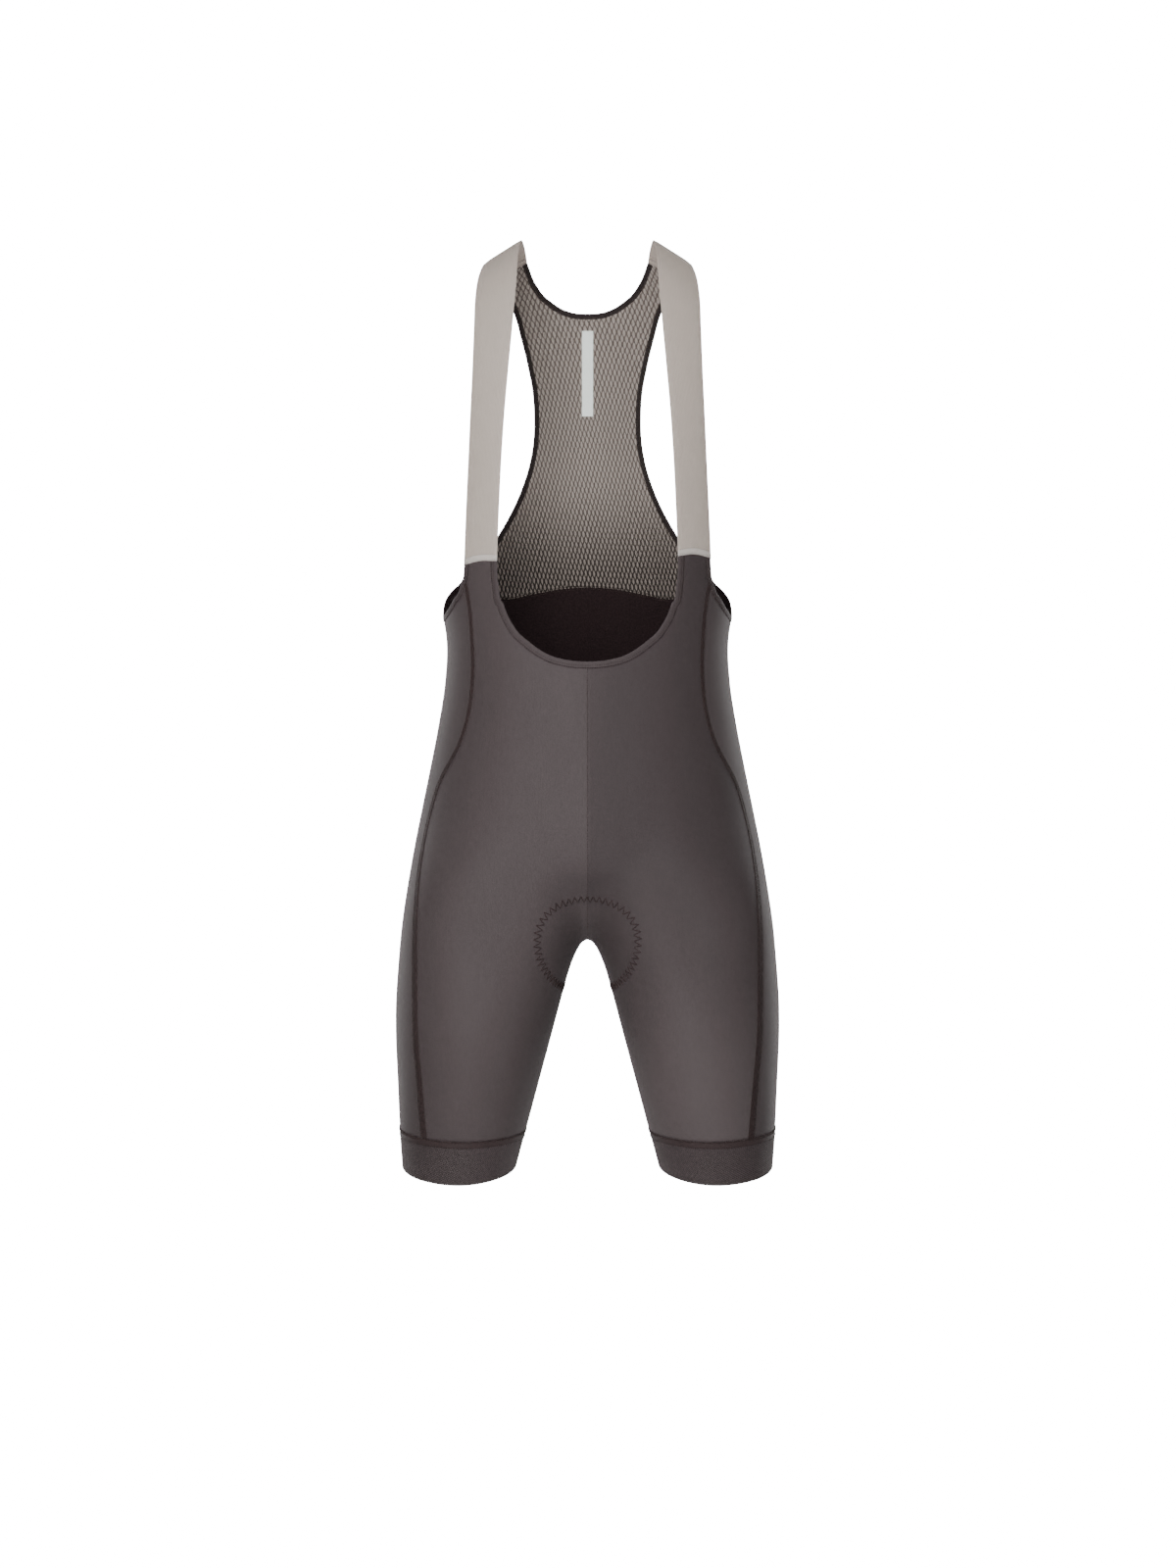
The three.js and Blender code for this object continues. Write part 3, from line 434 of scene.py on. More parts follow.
class Half:
    """The seam lines and edges of one half, worked out on the left."""

    def __init__(self, foot):
        self.foot = foot
        middle = (strap_inner(foot["middle"]) + strap_outer(foot["middle"])) / 2
        self.foot_height = curve({
            "out": np.array([strap_inner(foot["inner"]), middle, strap_outer(foot["outer"])]),
            "height": np.array([foot["inner"], foot["middle"], foot["outer"]]),
        }, "out", "height")
        self.make_neck()
        self.make_armhole()
        self.make_columns()
        self.make_mesh()

    def on_foot(self, point):
        return wrap_point(point[0], self.foot_height(point[0]))

    def make_neck(self):
        heights = spread(TAB_FOOT, self.foot["inner"], 6 * FINE)
        outs = root(lambda x: scoop_height(x) - heights, 30 + 0 * heights, 88.2 + 0 * heights)
        steep = wrap_point(outs, heights)
        outs = spread(0, outs[0], 8 * FINE)[:-1]
        self.split = len(outs)
        self.neck_edge = np.concatenate([wrap_point(outs, scoop_height(outs)), steep])
        whole = both_sides(self.neck_edge, self.neck_edge)
        self.neck_panel = inside(whole, SCOOP_BAND, -1)[len(self.neck_edge) - 1:]
        self.neck_panel[0, 0] = 0
        self.neck_panel[-1] = self.on_foot(self.neck_panel[-1])

    def make_armhole(self):
        heights = spread(self.foot["outer"], -352.9, 3 * FINE)
        angles = root(lambda a: heights - armhole_height(a), 60.6 + 0 * heights, 77.6 + 0 * heights)
        angles = np.concatenate([angles, refined([62.9, 68.4, 74.5, 81, 87.5, 94, 101.8, 110])[1:]])
        self.arm_edge = ring_point(angles, armhole_height(angles))
        self.arm_edge[0] = wrap_point(strap_outer(self.foot["outer"]), self.foot["outer"])
        self.arm_panel = inside(self.arm_edge, ARMHOLE_BAND, -1)
        self.arm_panel[0] = self.on_foot(self.arm_panel[0])
        self.arm_split = 3 * FINE
        self.corner = self.arm_panel[self.arm_split]
        outs = refined([109, 99, 86, 68, 46, 23, 0])
        start = spread(self.arm_panel[-1][0], 109, FINE)[1:-1]
        outs = np.concatenate([start, outs])
        seam = wrap_point(outs, -mesh_seam_height(outs))
        self.mesh_seam = np.concatenate([self.arm_panel[-1:], seam])

    def make_columns(self):
        """The centre front, centre back and side seam at the rows of the panels."""
        rows = [INSEAM_ROWS + [crotch_height]]
        rows.append([crotch_height] + FRONT_ROWS + [self.neck_panel[0][2]])
        rows.append([crotch_height] + BACK_ROWS + [float(mesh_seam_height(0))])
        inseam, front, back = (refined(row) for row in rows)
        self.front_line = body_point(0.0, np.concatenate([inseam, front[1:]]))
        self.back_line = body_point(1.0, np.concatenate([inseam, back[1:]]))
        middle = len(inseam) - 1
        self.front_line[middle] = self.back_line[middle] = crotch_point
        self.front_line[0] = body_point(0.0, seam_height(0))
        self.back_line[0] = body_point(1.0, seam_height(1))
        self.front_line[-1] = self.neck_panel[0]
        self.back_line[-1] = self.mesh_seam[-1]
        share = np.linspace(0, 1, len(self.front_line))
        rise = TAB_FOOT - self.front_line[-1, 2]
        self.side_low = seam_point(self.front_line[:, 2] + rise * share ** 6)
        self.side_low[0] = seam_point(SIDE_SEAM_FOOT)
        heights = refined([TAB_FOOT, -393, -374, self.corner[2]])[1:]
        self.side_high = seam_point(heights)
        self.side_high[-1] = self.corner

    def make_mesh(self):
        side = np.concatenate([spread(331, 83, 16 * FINE)[1:], spread(83, STRAP_END, 5 * FINE)[1:]])
        self.side_edge = np.concatenate([self.arm_edge[-1:], wrap_point(mesh_side_out(side), side)])
        taper = np.interp(np.arange(len(self.side_edge)), [0, 2 * FINE], [ARMHOLE_BAND, MESH_BINDING])
        self.side_panel = inside(self.side_edge, taper, -1)
        self.side_panel[0] = self.arm_panel[-1]
        self.side_panel[-1] = wrap_point(self.side_panel[-1][0], STRAP_END)
        self.side_split = 16 * FINE
        outs = np.concatenate([spread(0, 36, 4 * FINE), spread(36, 62.8, 5 * FINE)[1:]])
        self.back_neck_edge = wrap_point(outs, mesh_neck_run(outs))
        whole = both_sides(self.back_neck_edge, self.back_neck_edge)
        self.back_neck_panel = inside(whole, NECK_BINDING, 1)[len(outs) - 1:]
        self.back_neck_panel[0, 0] = 0
        self.back_neck_panel[-1] = wrap_point(self.back_neck_panel[-1][0], STRAP_END)
        self.neck_split = 4 * FINE

    def front_grids(self):
        turn = body_chart(self.side_low[:1])[0, 0]
        turns = spread(0, turn, 12 * FINE)
        bottom = body_point(turns, seam_height(turns))
        bottom[-1] = self.side_low[0]
        ends = body_chart(np.stack([self.neck_panel[self.split], self.side_low[-1]]))
        bridge = body_point(*(spread(ends[0, i], ends[1, i], 4 * FINE) for i in (0, 1)))
        bridge[0], bridge[-1] = self.neck_panel[self.split], self.side_low[-1]
        top = np.concatenate([self.neck_panel[:self.split], bridge])
        lower = patch(bottom, top, self.front_line, self.side_low, body_chart, body_point)
        left = self.neck_panel[self.split:]
        right = np.concatenate([self.side_low[-1:], self.side_high, self.arm_panel[:self.arm_split][::-1]])
        outs = spread(left[-1][0], right[-1][0], 4 * FINE)
        top = wrap_point(outs, self.foot_height(outs))
        top[0], top[-1] = left[-1], right[-1]
        tab = patch(bridge, top, left, right, body_chart, body_point, 1.5)
        return [lower, tab]

    def back_grids(self):
        left = np.concatenate([self.side_low, self.side_high])
        top = np.concatenate([self.arm_panel[self.arm_split:], self.mesh_seam[1:]])
        turn = body_chart(left[:1])[0, 0]
        turns = spread(turn, 1, len(top) - 1)
        bottom = body_point(turns, seam_height(turns))
        bottom[0] = left[0]
        return [patch(bottom, top, left, self.back_line, back_chart, body_point, 5)]

    def gripper_grids(self):
        turns = spread(0, 1, 26 * FINE)
        share = spread(0, 1, 2 * FINE)[:, None]
        return [body_point(turns[None], hem_height(turns) * (1 - share) + seam_height(turns) * share)]

    def strap_grids(self):
        share = spread(0, 1, 5 * FINE, 0.5)
        runs = np.concatenate([
            spread(STRAP_START, SHOULDER_BASE, 10 * FINE)[:-1],
            spread(SHOULDER_BASE, STRAP_END, 15 * FINE),
        ])
        outs = strap_inner(runs)[:, None] * (1 - share) + strap_outer(runs)[:, None] * share
        rows = outs * 0 + runs[:, None]
        foot = self.foot_height(outs[0])
        reach = np.clip((runs - STRAP_START) / STRAP_LEVELS_IN, 0, 1)[:, None]
        rows = rows + (foot - STRAP_START)[None] * (1 - reach)
        return [wrap_point(outs, rows)]


def bridge_of(start, end):
    ends = wrap_chart(np.stack([start, end]))
    line = wrap_point(*(spread(ends[0, i], ends[1, i], 3 * FINE) for i in (0, 1)))
    line[0], line[-1] = start, end
    return line


def mesh_grids(half, seams):
    seam = both_sides(seams["right"][::-1], seams["left"][::-1])
    bridge = bridge_of(half.back_neck_panel[half.neck_split], half.side_panel[half.side_split])
    half_top = np.concatenate([half.back_neck_panel[:half.neck_split], bridge])
    side = half.side_panel[:half.side_split + 1]
    steps = np.linspace(0, 1, len(seam))
    whole_top = both_sides(half_top, half_top)
    at = np.linspace(0, 1, len(whole_top))
    top = np.stack([np.interp(steps, at, whole_top[:, i]) for i in range(3)], -1)
    top = settle(top)
    lower = patch(seam, top, mirror(side), side, wrap_chart, wrap_point, 2)
    horn_top = bridge_of(half.back_neck_panel[-1], half.side_panel[-1])
    horn = patch(
        bridge, horn_top, half.back_neck_panel[half.neck_split:],
        half.side_panel[half.side_split:], wrap_chart, wrap_point, 1,
    )
    grids = [lower, horn, mirror(horn)[:, ::-1]]
    return [grid[:, ::-1] for grid in grids]


# The knit's columns stand this much wider at the shoulders, from a height on the mesh upwards
KNIT_FAN = 0.25
KNIT_FAN_FROM = 180.0
KNIT_FAN_RISE = 170.0


def smooth(value, low, high):
    """0 below low, 1 above high, and a soft step between them."""
    t = np.clip((value - low) / (high - low), 0, 1)
    return t * t * (3 - 2 * t)


# Soft folds: two ends, how far the middle bows sideways and up, half width and height
FOLDS = table("x z to_x to_z bow side wide high", [
    (16, -664, 78, -604, 4, -1, 14, -0.5),
    (44, -640, 126, -585, 6, -1, 18, -0.5),
    (60, -700, 128, -660, 5, -1, 18, 0.4),
    (96, -468, 132, -520, 5, -1, 18, -0.6),
    (30, -500, 70, -540, 6, -1, 22, 0.4),
    (118, -848, 162, -868, 4, -1, 12, -0.5),
    (96, -800, 150, -780, -5, -1, 16, 0.5),
    (20, -690, 92, -724, 7, 1, 11, -1.6),
    (26, -712, 104, -752, 6, 1, 12, 1.0),
    (60, -742, 140, -738, -7, 1, 12, -1.0),
    (30, -430, 96, -452, 8, 1, 12, -1.0),
    (20, -470, 88, -500, -8, 1, 14, 0.8),
    (110, -840, 170, -852, 5, 1, 12, -0.8),
    (100, -800, 160, -812, -5, 1, 14, 0.6),
])


def folds_at(points):
    """The height of the soft folds at points of either half."""
    x, y, z = np.abs(points[..., 0]), points[..., 1], points[..., 2]
    height = np.zeros_like(x)
    for row in zip(*FOLDS.values()):
        from_x, from_z, to_x, to_z, bow, side, wide, high = row
        run = np.array([to_x - from_x, to_z - from_z])
        length = np.hypot(*run)
        run = run / length
        along = (x - from_x) * run[0] + (z - from_z) * run[1]
        t = np.clip(along / length, 0, 1)
        across = (x - from_x) * -run[1] + (z - from_z) * run[0] - bow * 4 * t * (1 - t)
        past = along - t * length
        bell = np.exp(-(across / wide) ** 2 - (past / (2.5 * wide)) ** 2)
        height += high * bell * smooth(4 * t * (1 - t) + 0.25, 0, 1) * smooth(y * side, 0, 40)
    return height


def relief(points):
    """How far the cloth stands off the even figure: a kink down the centre and soft folds."""
    x, y, z = points[..., 0], points[..., 1], points[..., 2]
    keel = 3.0 * np.exp(-np.abs(x) / 26) * smooth(z, -716, -650) * (1 - smooth(z, -560, -425))
    return smooth(-y, 20, 60) * keel + folds_at(points)


def worn(points, lift=0.0):
    """Points of the worn surface moved out on to the cloth."""
    normals = normal_at(points)
    return points + normals * (relief(points) + lift)[..., None]


def arc_lengths(grid, axis):
    steps = np.linalg.norm(np.diff(grid, axis=axis), axis=-1)
    start = np.zeros_like(np.take(steps, [0], axis=axis))
    return np.concatenate([start, np.cumsum(steps, axis=axis)], axis=axis)


def cloth_places(grid):
    """Each point's place on the cloth, across from the left edge and up from the bottom."""
    return np.stack([arc_lengths(grid, 1), arc_lengths(grid, 0)], -1)


def rounded(steps, flat, least=0.3):
    """The wall of a narrow piece from edge to edge, as a share of its thickness."""
    s = spread(0, 1, steps, 1)
    return np.maximum((1 - np.abs(2 * s - 1) ** flat) ** 0.5, least)


def knit_places(grids):
    """Places on the mesh's knit, whose columns fan out towards the shoulders."""
    run_step, out_step = 4.0, 2.0
    runs = np.arange(20.0, 368.0, run_step)
    outs = np.arange(0.0, 132.0, out_step)
    surface = wrap_point(outs[None], runs[:, None])
    across = arc_lengths(surface, 1)
    down = arc_lengths(surface, 0)[:, 0]
    up = down[-1] - down
    found = []
    for grid in grids:
        chart = wrap_chart(grid)
        x, run = np.abs(chart[..., 0]) / out_step, (chart[..., 1] - runs[0]) / run_step
        i = np.clip(x.astype(int), 0, len(outs) - 2)
        j = np.clip(run.astype(int), 0, len(runs) - 2)
        s, t = x - i, run - j
        low = across[j, i] * (1 - s) + across[j, i + 1] * s
        high = across[j + 1, i] * (1 - s) + across[j + 1, i + 1] * s
        arc = low * (1 - t) + high * t
        rise = np.interp(chart[..., 1], runs, up)
        share = (rise - KNIT_FAN_FROM) / KNIT_FAN_RISE
        fan = 1 + KNIT_FAN * smooth(share, 0, 1)
        t = np.clip(share, 0, 1)
        steep = KNIT_FAN * 6 * t * (1 - t) / KNIT_FAN_RISE
        u = np.sign(chart[..., 0]) * arc / fan
        found.append(np.stack([u, rise + arc ** 2 * steep / (2 * fan)], -1))
    return found


class Wall:
    """A closed thin wall over one or more grids of points."""

    def __init__(self, grids, thickness, lift=0.0, places=None, swell=None, flip=False, roll=0.0):
        flat = np.concatenate([g.reshape(-1, 3) for g in grids])
        places = places or [cloth_places(g) for g in grids]
        places = np.concatenate([p.reshape(-1, 2) for p in places])
        share = np.ones(len(flat)) if swell is None else swell.reshape(-1)
        _, first, index = np.unique(np.round(flat * 50), axis=0, return_index=True, return_inverse=True)
        index = index.reshape(-1)
        self.points = flat[first]
        self.share = share[first]
        corners, at = [], 0
        for grid in grids:
            rows, columns = grid.shape[:2]
            cell = np.arange(at, at + rows * columns).reshape(rows, columns)
            quad = np.stack([cell[:-1, :-1], cell[:-1, 1:], cell[1:, 1:], cell[1:, :-1]], -1)
            corners.append(quad.reshape(-1, 4))
            at += rows * columns
        corners = np.concatenate(corners)
        if flip:
            corners = corners[:, ::-1]
        self.quads = index[corners]
        self.places = places[corners]
        self.thickness = thickness
        self.lift = lift
        self.roll = roll
        self.find_rim()

    def find_rim(self):
        """The edges that only one face uses."""
        a = self.quads.reshape(-1)
        b = np.roll(self.quads, -1, axis=1).reshape(-1)
        size = len(self.points)
        alone = ~np.isin(a * size + b, b * size + a) & (a != b)
        self.rim = np.stack([a[alone], b[alone]], -1)
        self.rim_places = self.places.reshape(-1, 2)[alone]

    def faces(self):
        """The wall's points, its faces and each face corner's place on the cloth."""
        normals = normal_at(self.points)
        off = relief(self.points) + self.lift
        off[np.unique(self.rim)] -= self.roll
        half = self.share * self.thickness / 2
        outer = self.points + normals * (off + half)[:, None]
        inner = self.points + normals * (off - half)[:, None]
        start, end = self.rim.T
        count = len(self.points)
        side = np.stack([start, start + count, end + count, end], -1)
        quads = np.concatenate([self.quads, self.quads[:, ::-1] + count, side])
        side_places = np.repeat(self.rim_places[:, None], 4, axis=1)
        places = np.concatenate([self.places, self.places[:, ::-1], side_places])
        return np.concatenate([outer, inner]), quads, places

    def mark_rim(self, mesh):
        """Keeps the shading of the faces and of the wall's edge apart."""
        size = 2 * len(self.points)
        edges = np.empty(len(mesh.edges) * 2, np.int32)
        mesh.edges.foreach_get("vertices", edges)
        edges = np.sort(edges.reshape(-1, 2), axis=1)
        rim = np.sort(self.rim, axis=1)
        rim = np.concatenate([rim, rim + len(self.points)])
        marked = np.isin(edges[:, 0] * size + edges[:, 1], rim[:, 0] * size + rim[:, 1])
        attribute = mesh.attributes.new("sharp_edge", "BOOLEAN", "EDGE")
        attribute.data.foreach_set("value", marked)


def add_object(name, mesh):
    piece = bpy.data.objects.new(name, mesh)
    bpy.context.scene.collection.objects.link(piece)
    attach(piece, "root")
    return piece


def wall_mesh(name, wall, outer, inner=None, sharp=False):
    """The mesh of a wall, with its places on the cloth as a map."""
    points, quads, places = wall.faces()
    mesh = bpy.data.meshes.new(name)
    mesh.from_pydata((points * MM).tolist(), [], quads.tolist())
    layer = mesh.uv_layers.new(name="cloth")
    layer.data.foreach_set("uv", (places * MM).reshape(-1).astype(np.float32))
    mesh.polygons.foreach_set("use_smooth", np.ones(len(mesh.polygons), bool))
    mesh.materials.append(outer)
    if inner is not None:
        mesh.materials.append(inner)
        count = len(wall.quads)
        index = np.zeros(len(quads), np.int32)
        index[count:2 * count] = 1
        mesh.polygons.foreach_set("material_index", index)
    if sharp:
        wall.mark_rim(mesh)
    mesh.update()
    return mesh


def add_wall(name, wall, outer, inner=None, sharp=True):
    """A piece of cloth that stands for the solid of the same name."""
    piece = add_object(name, wall_mesh(name, wall, outer, inner, sharp))
    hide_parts(name)
    return piece


def strip_grid(edge, panel, across=8):
    share = spread(0, 1, across, 1)[:, None, None]
    return settle(edge[None] * (1 - share) + panel[None] * share)


def pad_grid():
    """Rows that walk out from the pad's middle line over the inside of the crotch."""
    stride, rows, columns, walks = 2.0, 68, 28, 2
    end = PAD_WIDTH["along"][-1]
    place = body_point(0.0, PAD_FRONT)
    along = np.array([0.0, 1.0, -1.0])
    middle = []
    for _ in range(int(end / stride) + 1):
        middle.append(place)
        normal = normal_at(place)
        along = unit(along - normal * along.dot(normal))
        place = settle(place + along * stride) * np.array([0.0, 1.0, 1.0])
    middle = np.array(middle)
    at = end * spread(0, 1, rows, 0.55)
    index = np.minimum(np.round(at / stride).astype(int), len(middle) - 1)
    starts, halves = middle[index], pad_half(at)
    sides = []
    for side in (1.0, -1.0):
        point = starts.copy()
        heading = np.tile([side, 0.0, 0.0], (len(point), 1))
        line = [point]
        for _ in range(columns):
            for _ in range(walks):
                normal = normal_at(point)
                heading = unit(heading - normal * (heading * normal).sum(-1, keepdims=True))
                point = settle(point + heading * (halves / (columns * walks))[:, None])
            line.append(point)
        sides.append(np.stack(line, 1))
    return np.concatenate([sides[0][:, ::-1], sides[1][:, 1:]], axis=1)


class Tree:
    """Adds nodes to a tree: the kind, settings, then what goes into its inputs."""

    def __init__(self, tree):
        self.tree = tree

    def add(self, kind, settings=None, **inputs):
        node = self.tree.nodes.new(kind)
        for name, value in (settings or {}).items():
            setattr(node, name, value)
        for name, value in inputs.items():
            self.feed(node.inputs[name], value)
        return node

    def feed(self, socket, value):
        if isinstance(value, Value):
            self.tree.links.new(value.socket, socket)
        elif isinstance(value, bpy.types.NodeSocket):
            self.tree.links.new(value, socket)
        else:
            socket.default_value = value

    def maths(self, operation, *values):
        node = self.tree.nodes.new("ShaderNodeMath")
        node.operation = operation
        for socket, value in zip(node.inputs, values):
            self.feed(socket, value)
        return Value(self, node.outputs[0])


class Value:
    """A number in a node tree that can be reckoned with like any other."""

    def __init__(self, tree, socket):
        self.tree = tree
        self.socket = socket

    def __add__(self, other):
        return self.tree.maths("ADD", self, other)

    def __radd__(self, other):
        return self.tree.maths("ADD", other, self)

    def __sub__(self, other):
        return self.tree.maths("SUBTRACT", self, other)

    def __rsub__(self, other):
        return self.tree.maths("SUBTRACT", other, self)

    def __mul__(self, other):
        return self.tree.maths("MULTIPLY", self, other)

    def __rmul__(self, other):
        return self.tree.maths("MULTIPLY", other, self)

    def __truediv__(self, other):
        return self.tree.maths("DIVIDE", self, other)

    def __rtruediv__(self, other):
        return self.tree.maths("DIVIDE", other, self)

    def __abs__(self):
        return self.tree.maths("ABSOLUTE", self)

    def sine(self):
        return self.tree.maths("SINE", self)

    def step(self, low, high):
        """0 below low, 1 above high, softly between."""
        node = self.tree.add("ShaderNodeMapRange", {"interpolation_type": "SMOOTHSTEP"})
        for socket, value in zip(node.inputs, (self, low, high, 0.0, 1.0)):
            self.tree.feed(socket, value)
        return Value(self.tree, node.outputs[0])


class Finish:
    """A material under construction, with its places on the object and on the cloth in millimetres."""

    def __init__(self, name, colour, rough, sheen=0.0, sheen_rough=0.4, sheen_tint=(1, 1, 1)):
        self.material = bpy.data.materials.new(name)
        self.material.use_nodes = True
        self.tree = Tree(self.material.node_tree)
        self.bsdf = self.material.node_tree.nodes["Principled BSDF"]
        self.bsdf.inputs["Base Color"].default_value = (*colour, 1)
        self.bsdf.inputs["Roughness"].default_value = rough
        self.bsdf.inputs["Specular IOR Level"].default_value = 0.3
        self.bsdf.inputs["Sheen Weight"].default_value = sheen
        self.bsdf.inputs["Sheen Roughness"].default_value = sheen_rough
        self.bsdf.inputs["Sheen Tint"].default_value = (*sheen_tint, 1)
        self.material.diffuse_color = (*colour, 1)

    def body(self):
        """Place on the object in millimetres."""
        node = self.tree.add("ShaderNodeTexCoord")
        parts = self.tree.add("ShaderNodeSeparateXYZ", None, Vector=node.outputs["Object"])
        return [Value(self.tree, out) * 1000.0 for out in parts.outputs]

    def cloth(self):
        """Place on the cloth in millimetres."""
        node = self.tree.add("ShaderNodeUVMap", {"uv_map": "cloth"})
        parts = self.tree.add("ShaderNodeSeparateXYZ", None, Vector=node.outputs[0])
        return [Value(self.tree, out) * 1000.0 for out in parts.outputs[:2]]

    def vector(self, x, y, z=0.0):
        return self.tree.add("ShaderNodeCombineXYZ", None, X=x, Y=y, Z=z).outputs[0]

    def noise(self, place, scale, detail=2.0):
        node = self.tree.add("ShaderNodeTexNoise", None, Vector=place, Scale=scale, Detail=detail)
        return Value(self.tree, node.outputs[0])

    def mix(self, share, one, other):
        node = self.tree.add("ShaderNodeMix", {"data_type": "RGBA"})
        self.tree.feed(node.inputs[0], share)
        for socket, value in zip((node.inputs[6], node.inputs[7]), (one, other)):
            self.tree.feed(socket, (*value, 1) if isinstance(value, tuple) else value)
        return node.outputs[2]

    def colour(self, socket):
        self.tree.feed(self.bsdf.inputs["Base Color"], socket)

    def bump(self, height, depth):
        """Height is a share of depth, which is in millimetres."""
        node = self.tree.add("ShaderNodeBump", None, Height=height, Distance=depth * MM)
        self.tree.feed(self.bsdf.inputs["Normal"], node.outputs[0])


def srgb(red, green, blue):
    """A colour as it shows on a screen, made linear."""
    parts = np.array([red, green, blue]) / 255
    curved = ((parts + 0.055) / 1.055) ** 2.4
    return tuple(float(v) for v in np.where(parts > 0.04045, curved, parts / 12.92))


class Line:
    """A line along the worn surface that carries sewing, measured along in millimetres."""

    def __init__(self, points, closed=False):
        points = settle(points)
        if closed:
            points = np.concatenate([points, points[:1]])
        self.points = points
        steps = np.linalg.norm(np.diff(points, axis=0), axis=-1)
        self.at = np.concatenate([[0], np.cumsum(steps)])
        self.length = self.at[-1]

    def marks(self, pitch, start=0.0, end=0.0):
        """Even places along the line."""
        count = max(int(round((self.length - start - end) / pitch)), 1)
        return start + (np.arange(count) + 0.5) * (self.length - start - end) / count

    def place(self, at):
        return np.stack([np.interp(at, self.at, self.points[:, i]) for i in range(3)], -1)

    def beside(self, at, across=0.0):
        """Places on the worn surface beside the line, with the ways along, across and out."""
        centre = settle(self.place(at))
        along = unit(self.place(at + 0.7) - self.place(at - 0.7))
        out = normal_at(centre)
        along = unit(along - out * (along * out).sum(-1, keepdims=True))
        sideways = np.cross(out, along)
        across = across(at) if callable(across) else across
        centre = centre + sideways * np.broadcast_to(across, at.shape)[:, None]
        return settle(centre), along, sideways, out

    def stations(self, at, across=0.0, lift=0.0):
        """The same on the cloth."""
        centre, along, sideways, out = self.beside(at, across)
        return worn(centre, lift), along, sideways, out

    def ribbon(self, low, high, columns=5, step=3.0):
        """A grid of points between two distances across the line."""
        at = np.linspace(0, self.length, int(self.length / step) + 1)
        shares = spread(0, 1, columns - 1, 1)
        low = low(at) if callable(low) else low + 0 * at
        high = high(at) if callable(high) else high + 0 * at
        return np.stack([self.beside(at, low * (1 - s) + high * s)[0] for s in shares[::-1]])


def turns_of(along, out):
    """Euler turns that point a stitch's length along and its top out."""
    side = np.cross(out, along)
    return np.stack([
        np.arctan2(side[:, 2], out[:, 2]),
        -np.arcsin(np.clip(along[:, 2], -1, 1)),
        np.arctan2(along[:, 1], along[:, 0]),
    ], -1)


class Sewing:
    """Collects the stitches of one seam."""

    def __init__(self, mirrored=False):
        self.mirrored = mirrored
        self.places, self.turns, self.sizes = [], [], []

    def add(self, places, along, out, size):
        if self.mirrored:
            places, along, out = mirror(places), mirror(along), mirror(out)
        self.places.append(places)
        self.turns.append(turns_of(along, out))
        self.sizes.append(np.broadcast_to(np.asarray(size, float), places.shape))

    def row(self, line, across, lift, pitch, length, thick, start=0.0, end=0.0):
        """Stitches end to end along a line."""
        at = line.marks(pitch, start, end)
        places, along, _, out = line.stations(at, across, lift)
        self.add(places, along, out, (length, thick, thick))

    def rungs(self, line, width, lift, pitch, thick, slant=0.0, start=0.0, end=0.0):
        """Threads that cross a line from side to side."""
        at = line.marks(pitch, start, end)
        places, along, sideways, out = line.stations(at, 0.0, lift)
        wide = (width(at) if callable(width) else width) + 0 * at
        size = np.stack([wide, thick + 0 * wide, 0.8 * thick + 0 * wide], -1)
        self.add(places, unit(sideways + along * slant), out, size)

    def zigzag(self, line, half, lift, pitch, thick, start=0.0, end=0.0):
        """A thread that goes back and forth over a line."""
        count = 2 * int(round((line.length - start - end) / pitch))
        at = start + np.arange(count + 1) * (line.length - start - end) / count
        across = half * (1 - 2 * (np.arange(count + 1) % 2))
        places, _, _, out = line.stations(at, across, lift)
        middle, leg = (places[1:] + places[:-1]) / 2, places[1:] - places[:-1]
        long = np.linalg.norm(leg, axis=-1)
        out = unit(out[1:] + out[:-1])
        size = np.stack([long * 1.08, thick + 0 * long, thick + 0 * long], -1)
        self.add(middle, unit(leg), out, size)


# Faces round a stitch and along it
STITCH_SIDES = 6
STITCH_RINGS = 4


def stitch_tree(material):
    """Geometry nodes that put a rounded length of thread on every point."""
    group = bpy.data.node_groups.new("stitches", "GeometryNodeTree")
    group.interface.new_socket("Geometry", in_out="INPUT", socket_type="NodeSocketGeometry")
    for name, value in (("Sides", STITCH_SIDES), ("Rings", STITCH_RINGS)):
        socket = group.interface.new_socket(name, in_out="INPUT", socket_type="NodeSocketInt")
        socket.default_value = value
    group.interface.new_socket("Geometry", in_out="OUTPUT", socket_type="NodeSocketGeometry")
    tree = Tree(group)
    given = tree.add("NodeGroupInput")
    turn = tree.add("GeometryNodeInputNamedAttribute", {"data_type": "FLOAT_VECTOR"}, Name="turn")
    size = tree.add("GeometryNodeInputNamedAttribute", {"data_type": "FLOAT_VECTOR"}, Name="size")
    spin = tree.add("FunctionNodeEulerToRotation", None, Euler=turn.outputs[0])
    ball = tree.add(
        "GeometryNodeMeshUVSphere", None,
        Segments=given.outputs["Sides"], Rings=given.outputs["Rings"], Radius=0.5,
    )
    lay = tree.add("GeometryNodeTransform", None, Geometry=ball.outputs[0], Rotation=(0, math.pi / 2, 0))
    smooth_faces = tree.add("GeometryNodeSetShadeSmooth", None, Geometry=lay.outputs[0])
    placed = tree.add(
        "GeometryNodeInstanceOnPoints", None, Points=given.outputs[0],
        Instance=smooth_faces.outputs[0], Rotation=spin.outputs[0], Scale=size.outputs[0],
    )
    real = tree.add("GeometryNodeRealizeInstances", None, Geometry=placed.outputs[0])
    dyed = tree.add("GeometryNodeSetMaterial", None, Geometry=real.outputs[0], Material=material)
    out = tree.add("NodeGroupOutput")
    group.links.new(dyed.outputs[0], out.inputs[0])
    return group


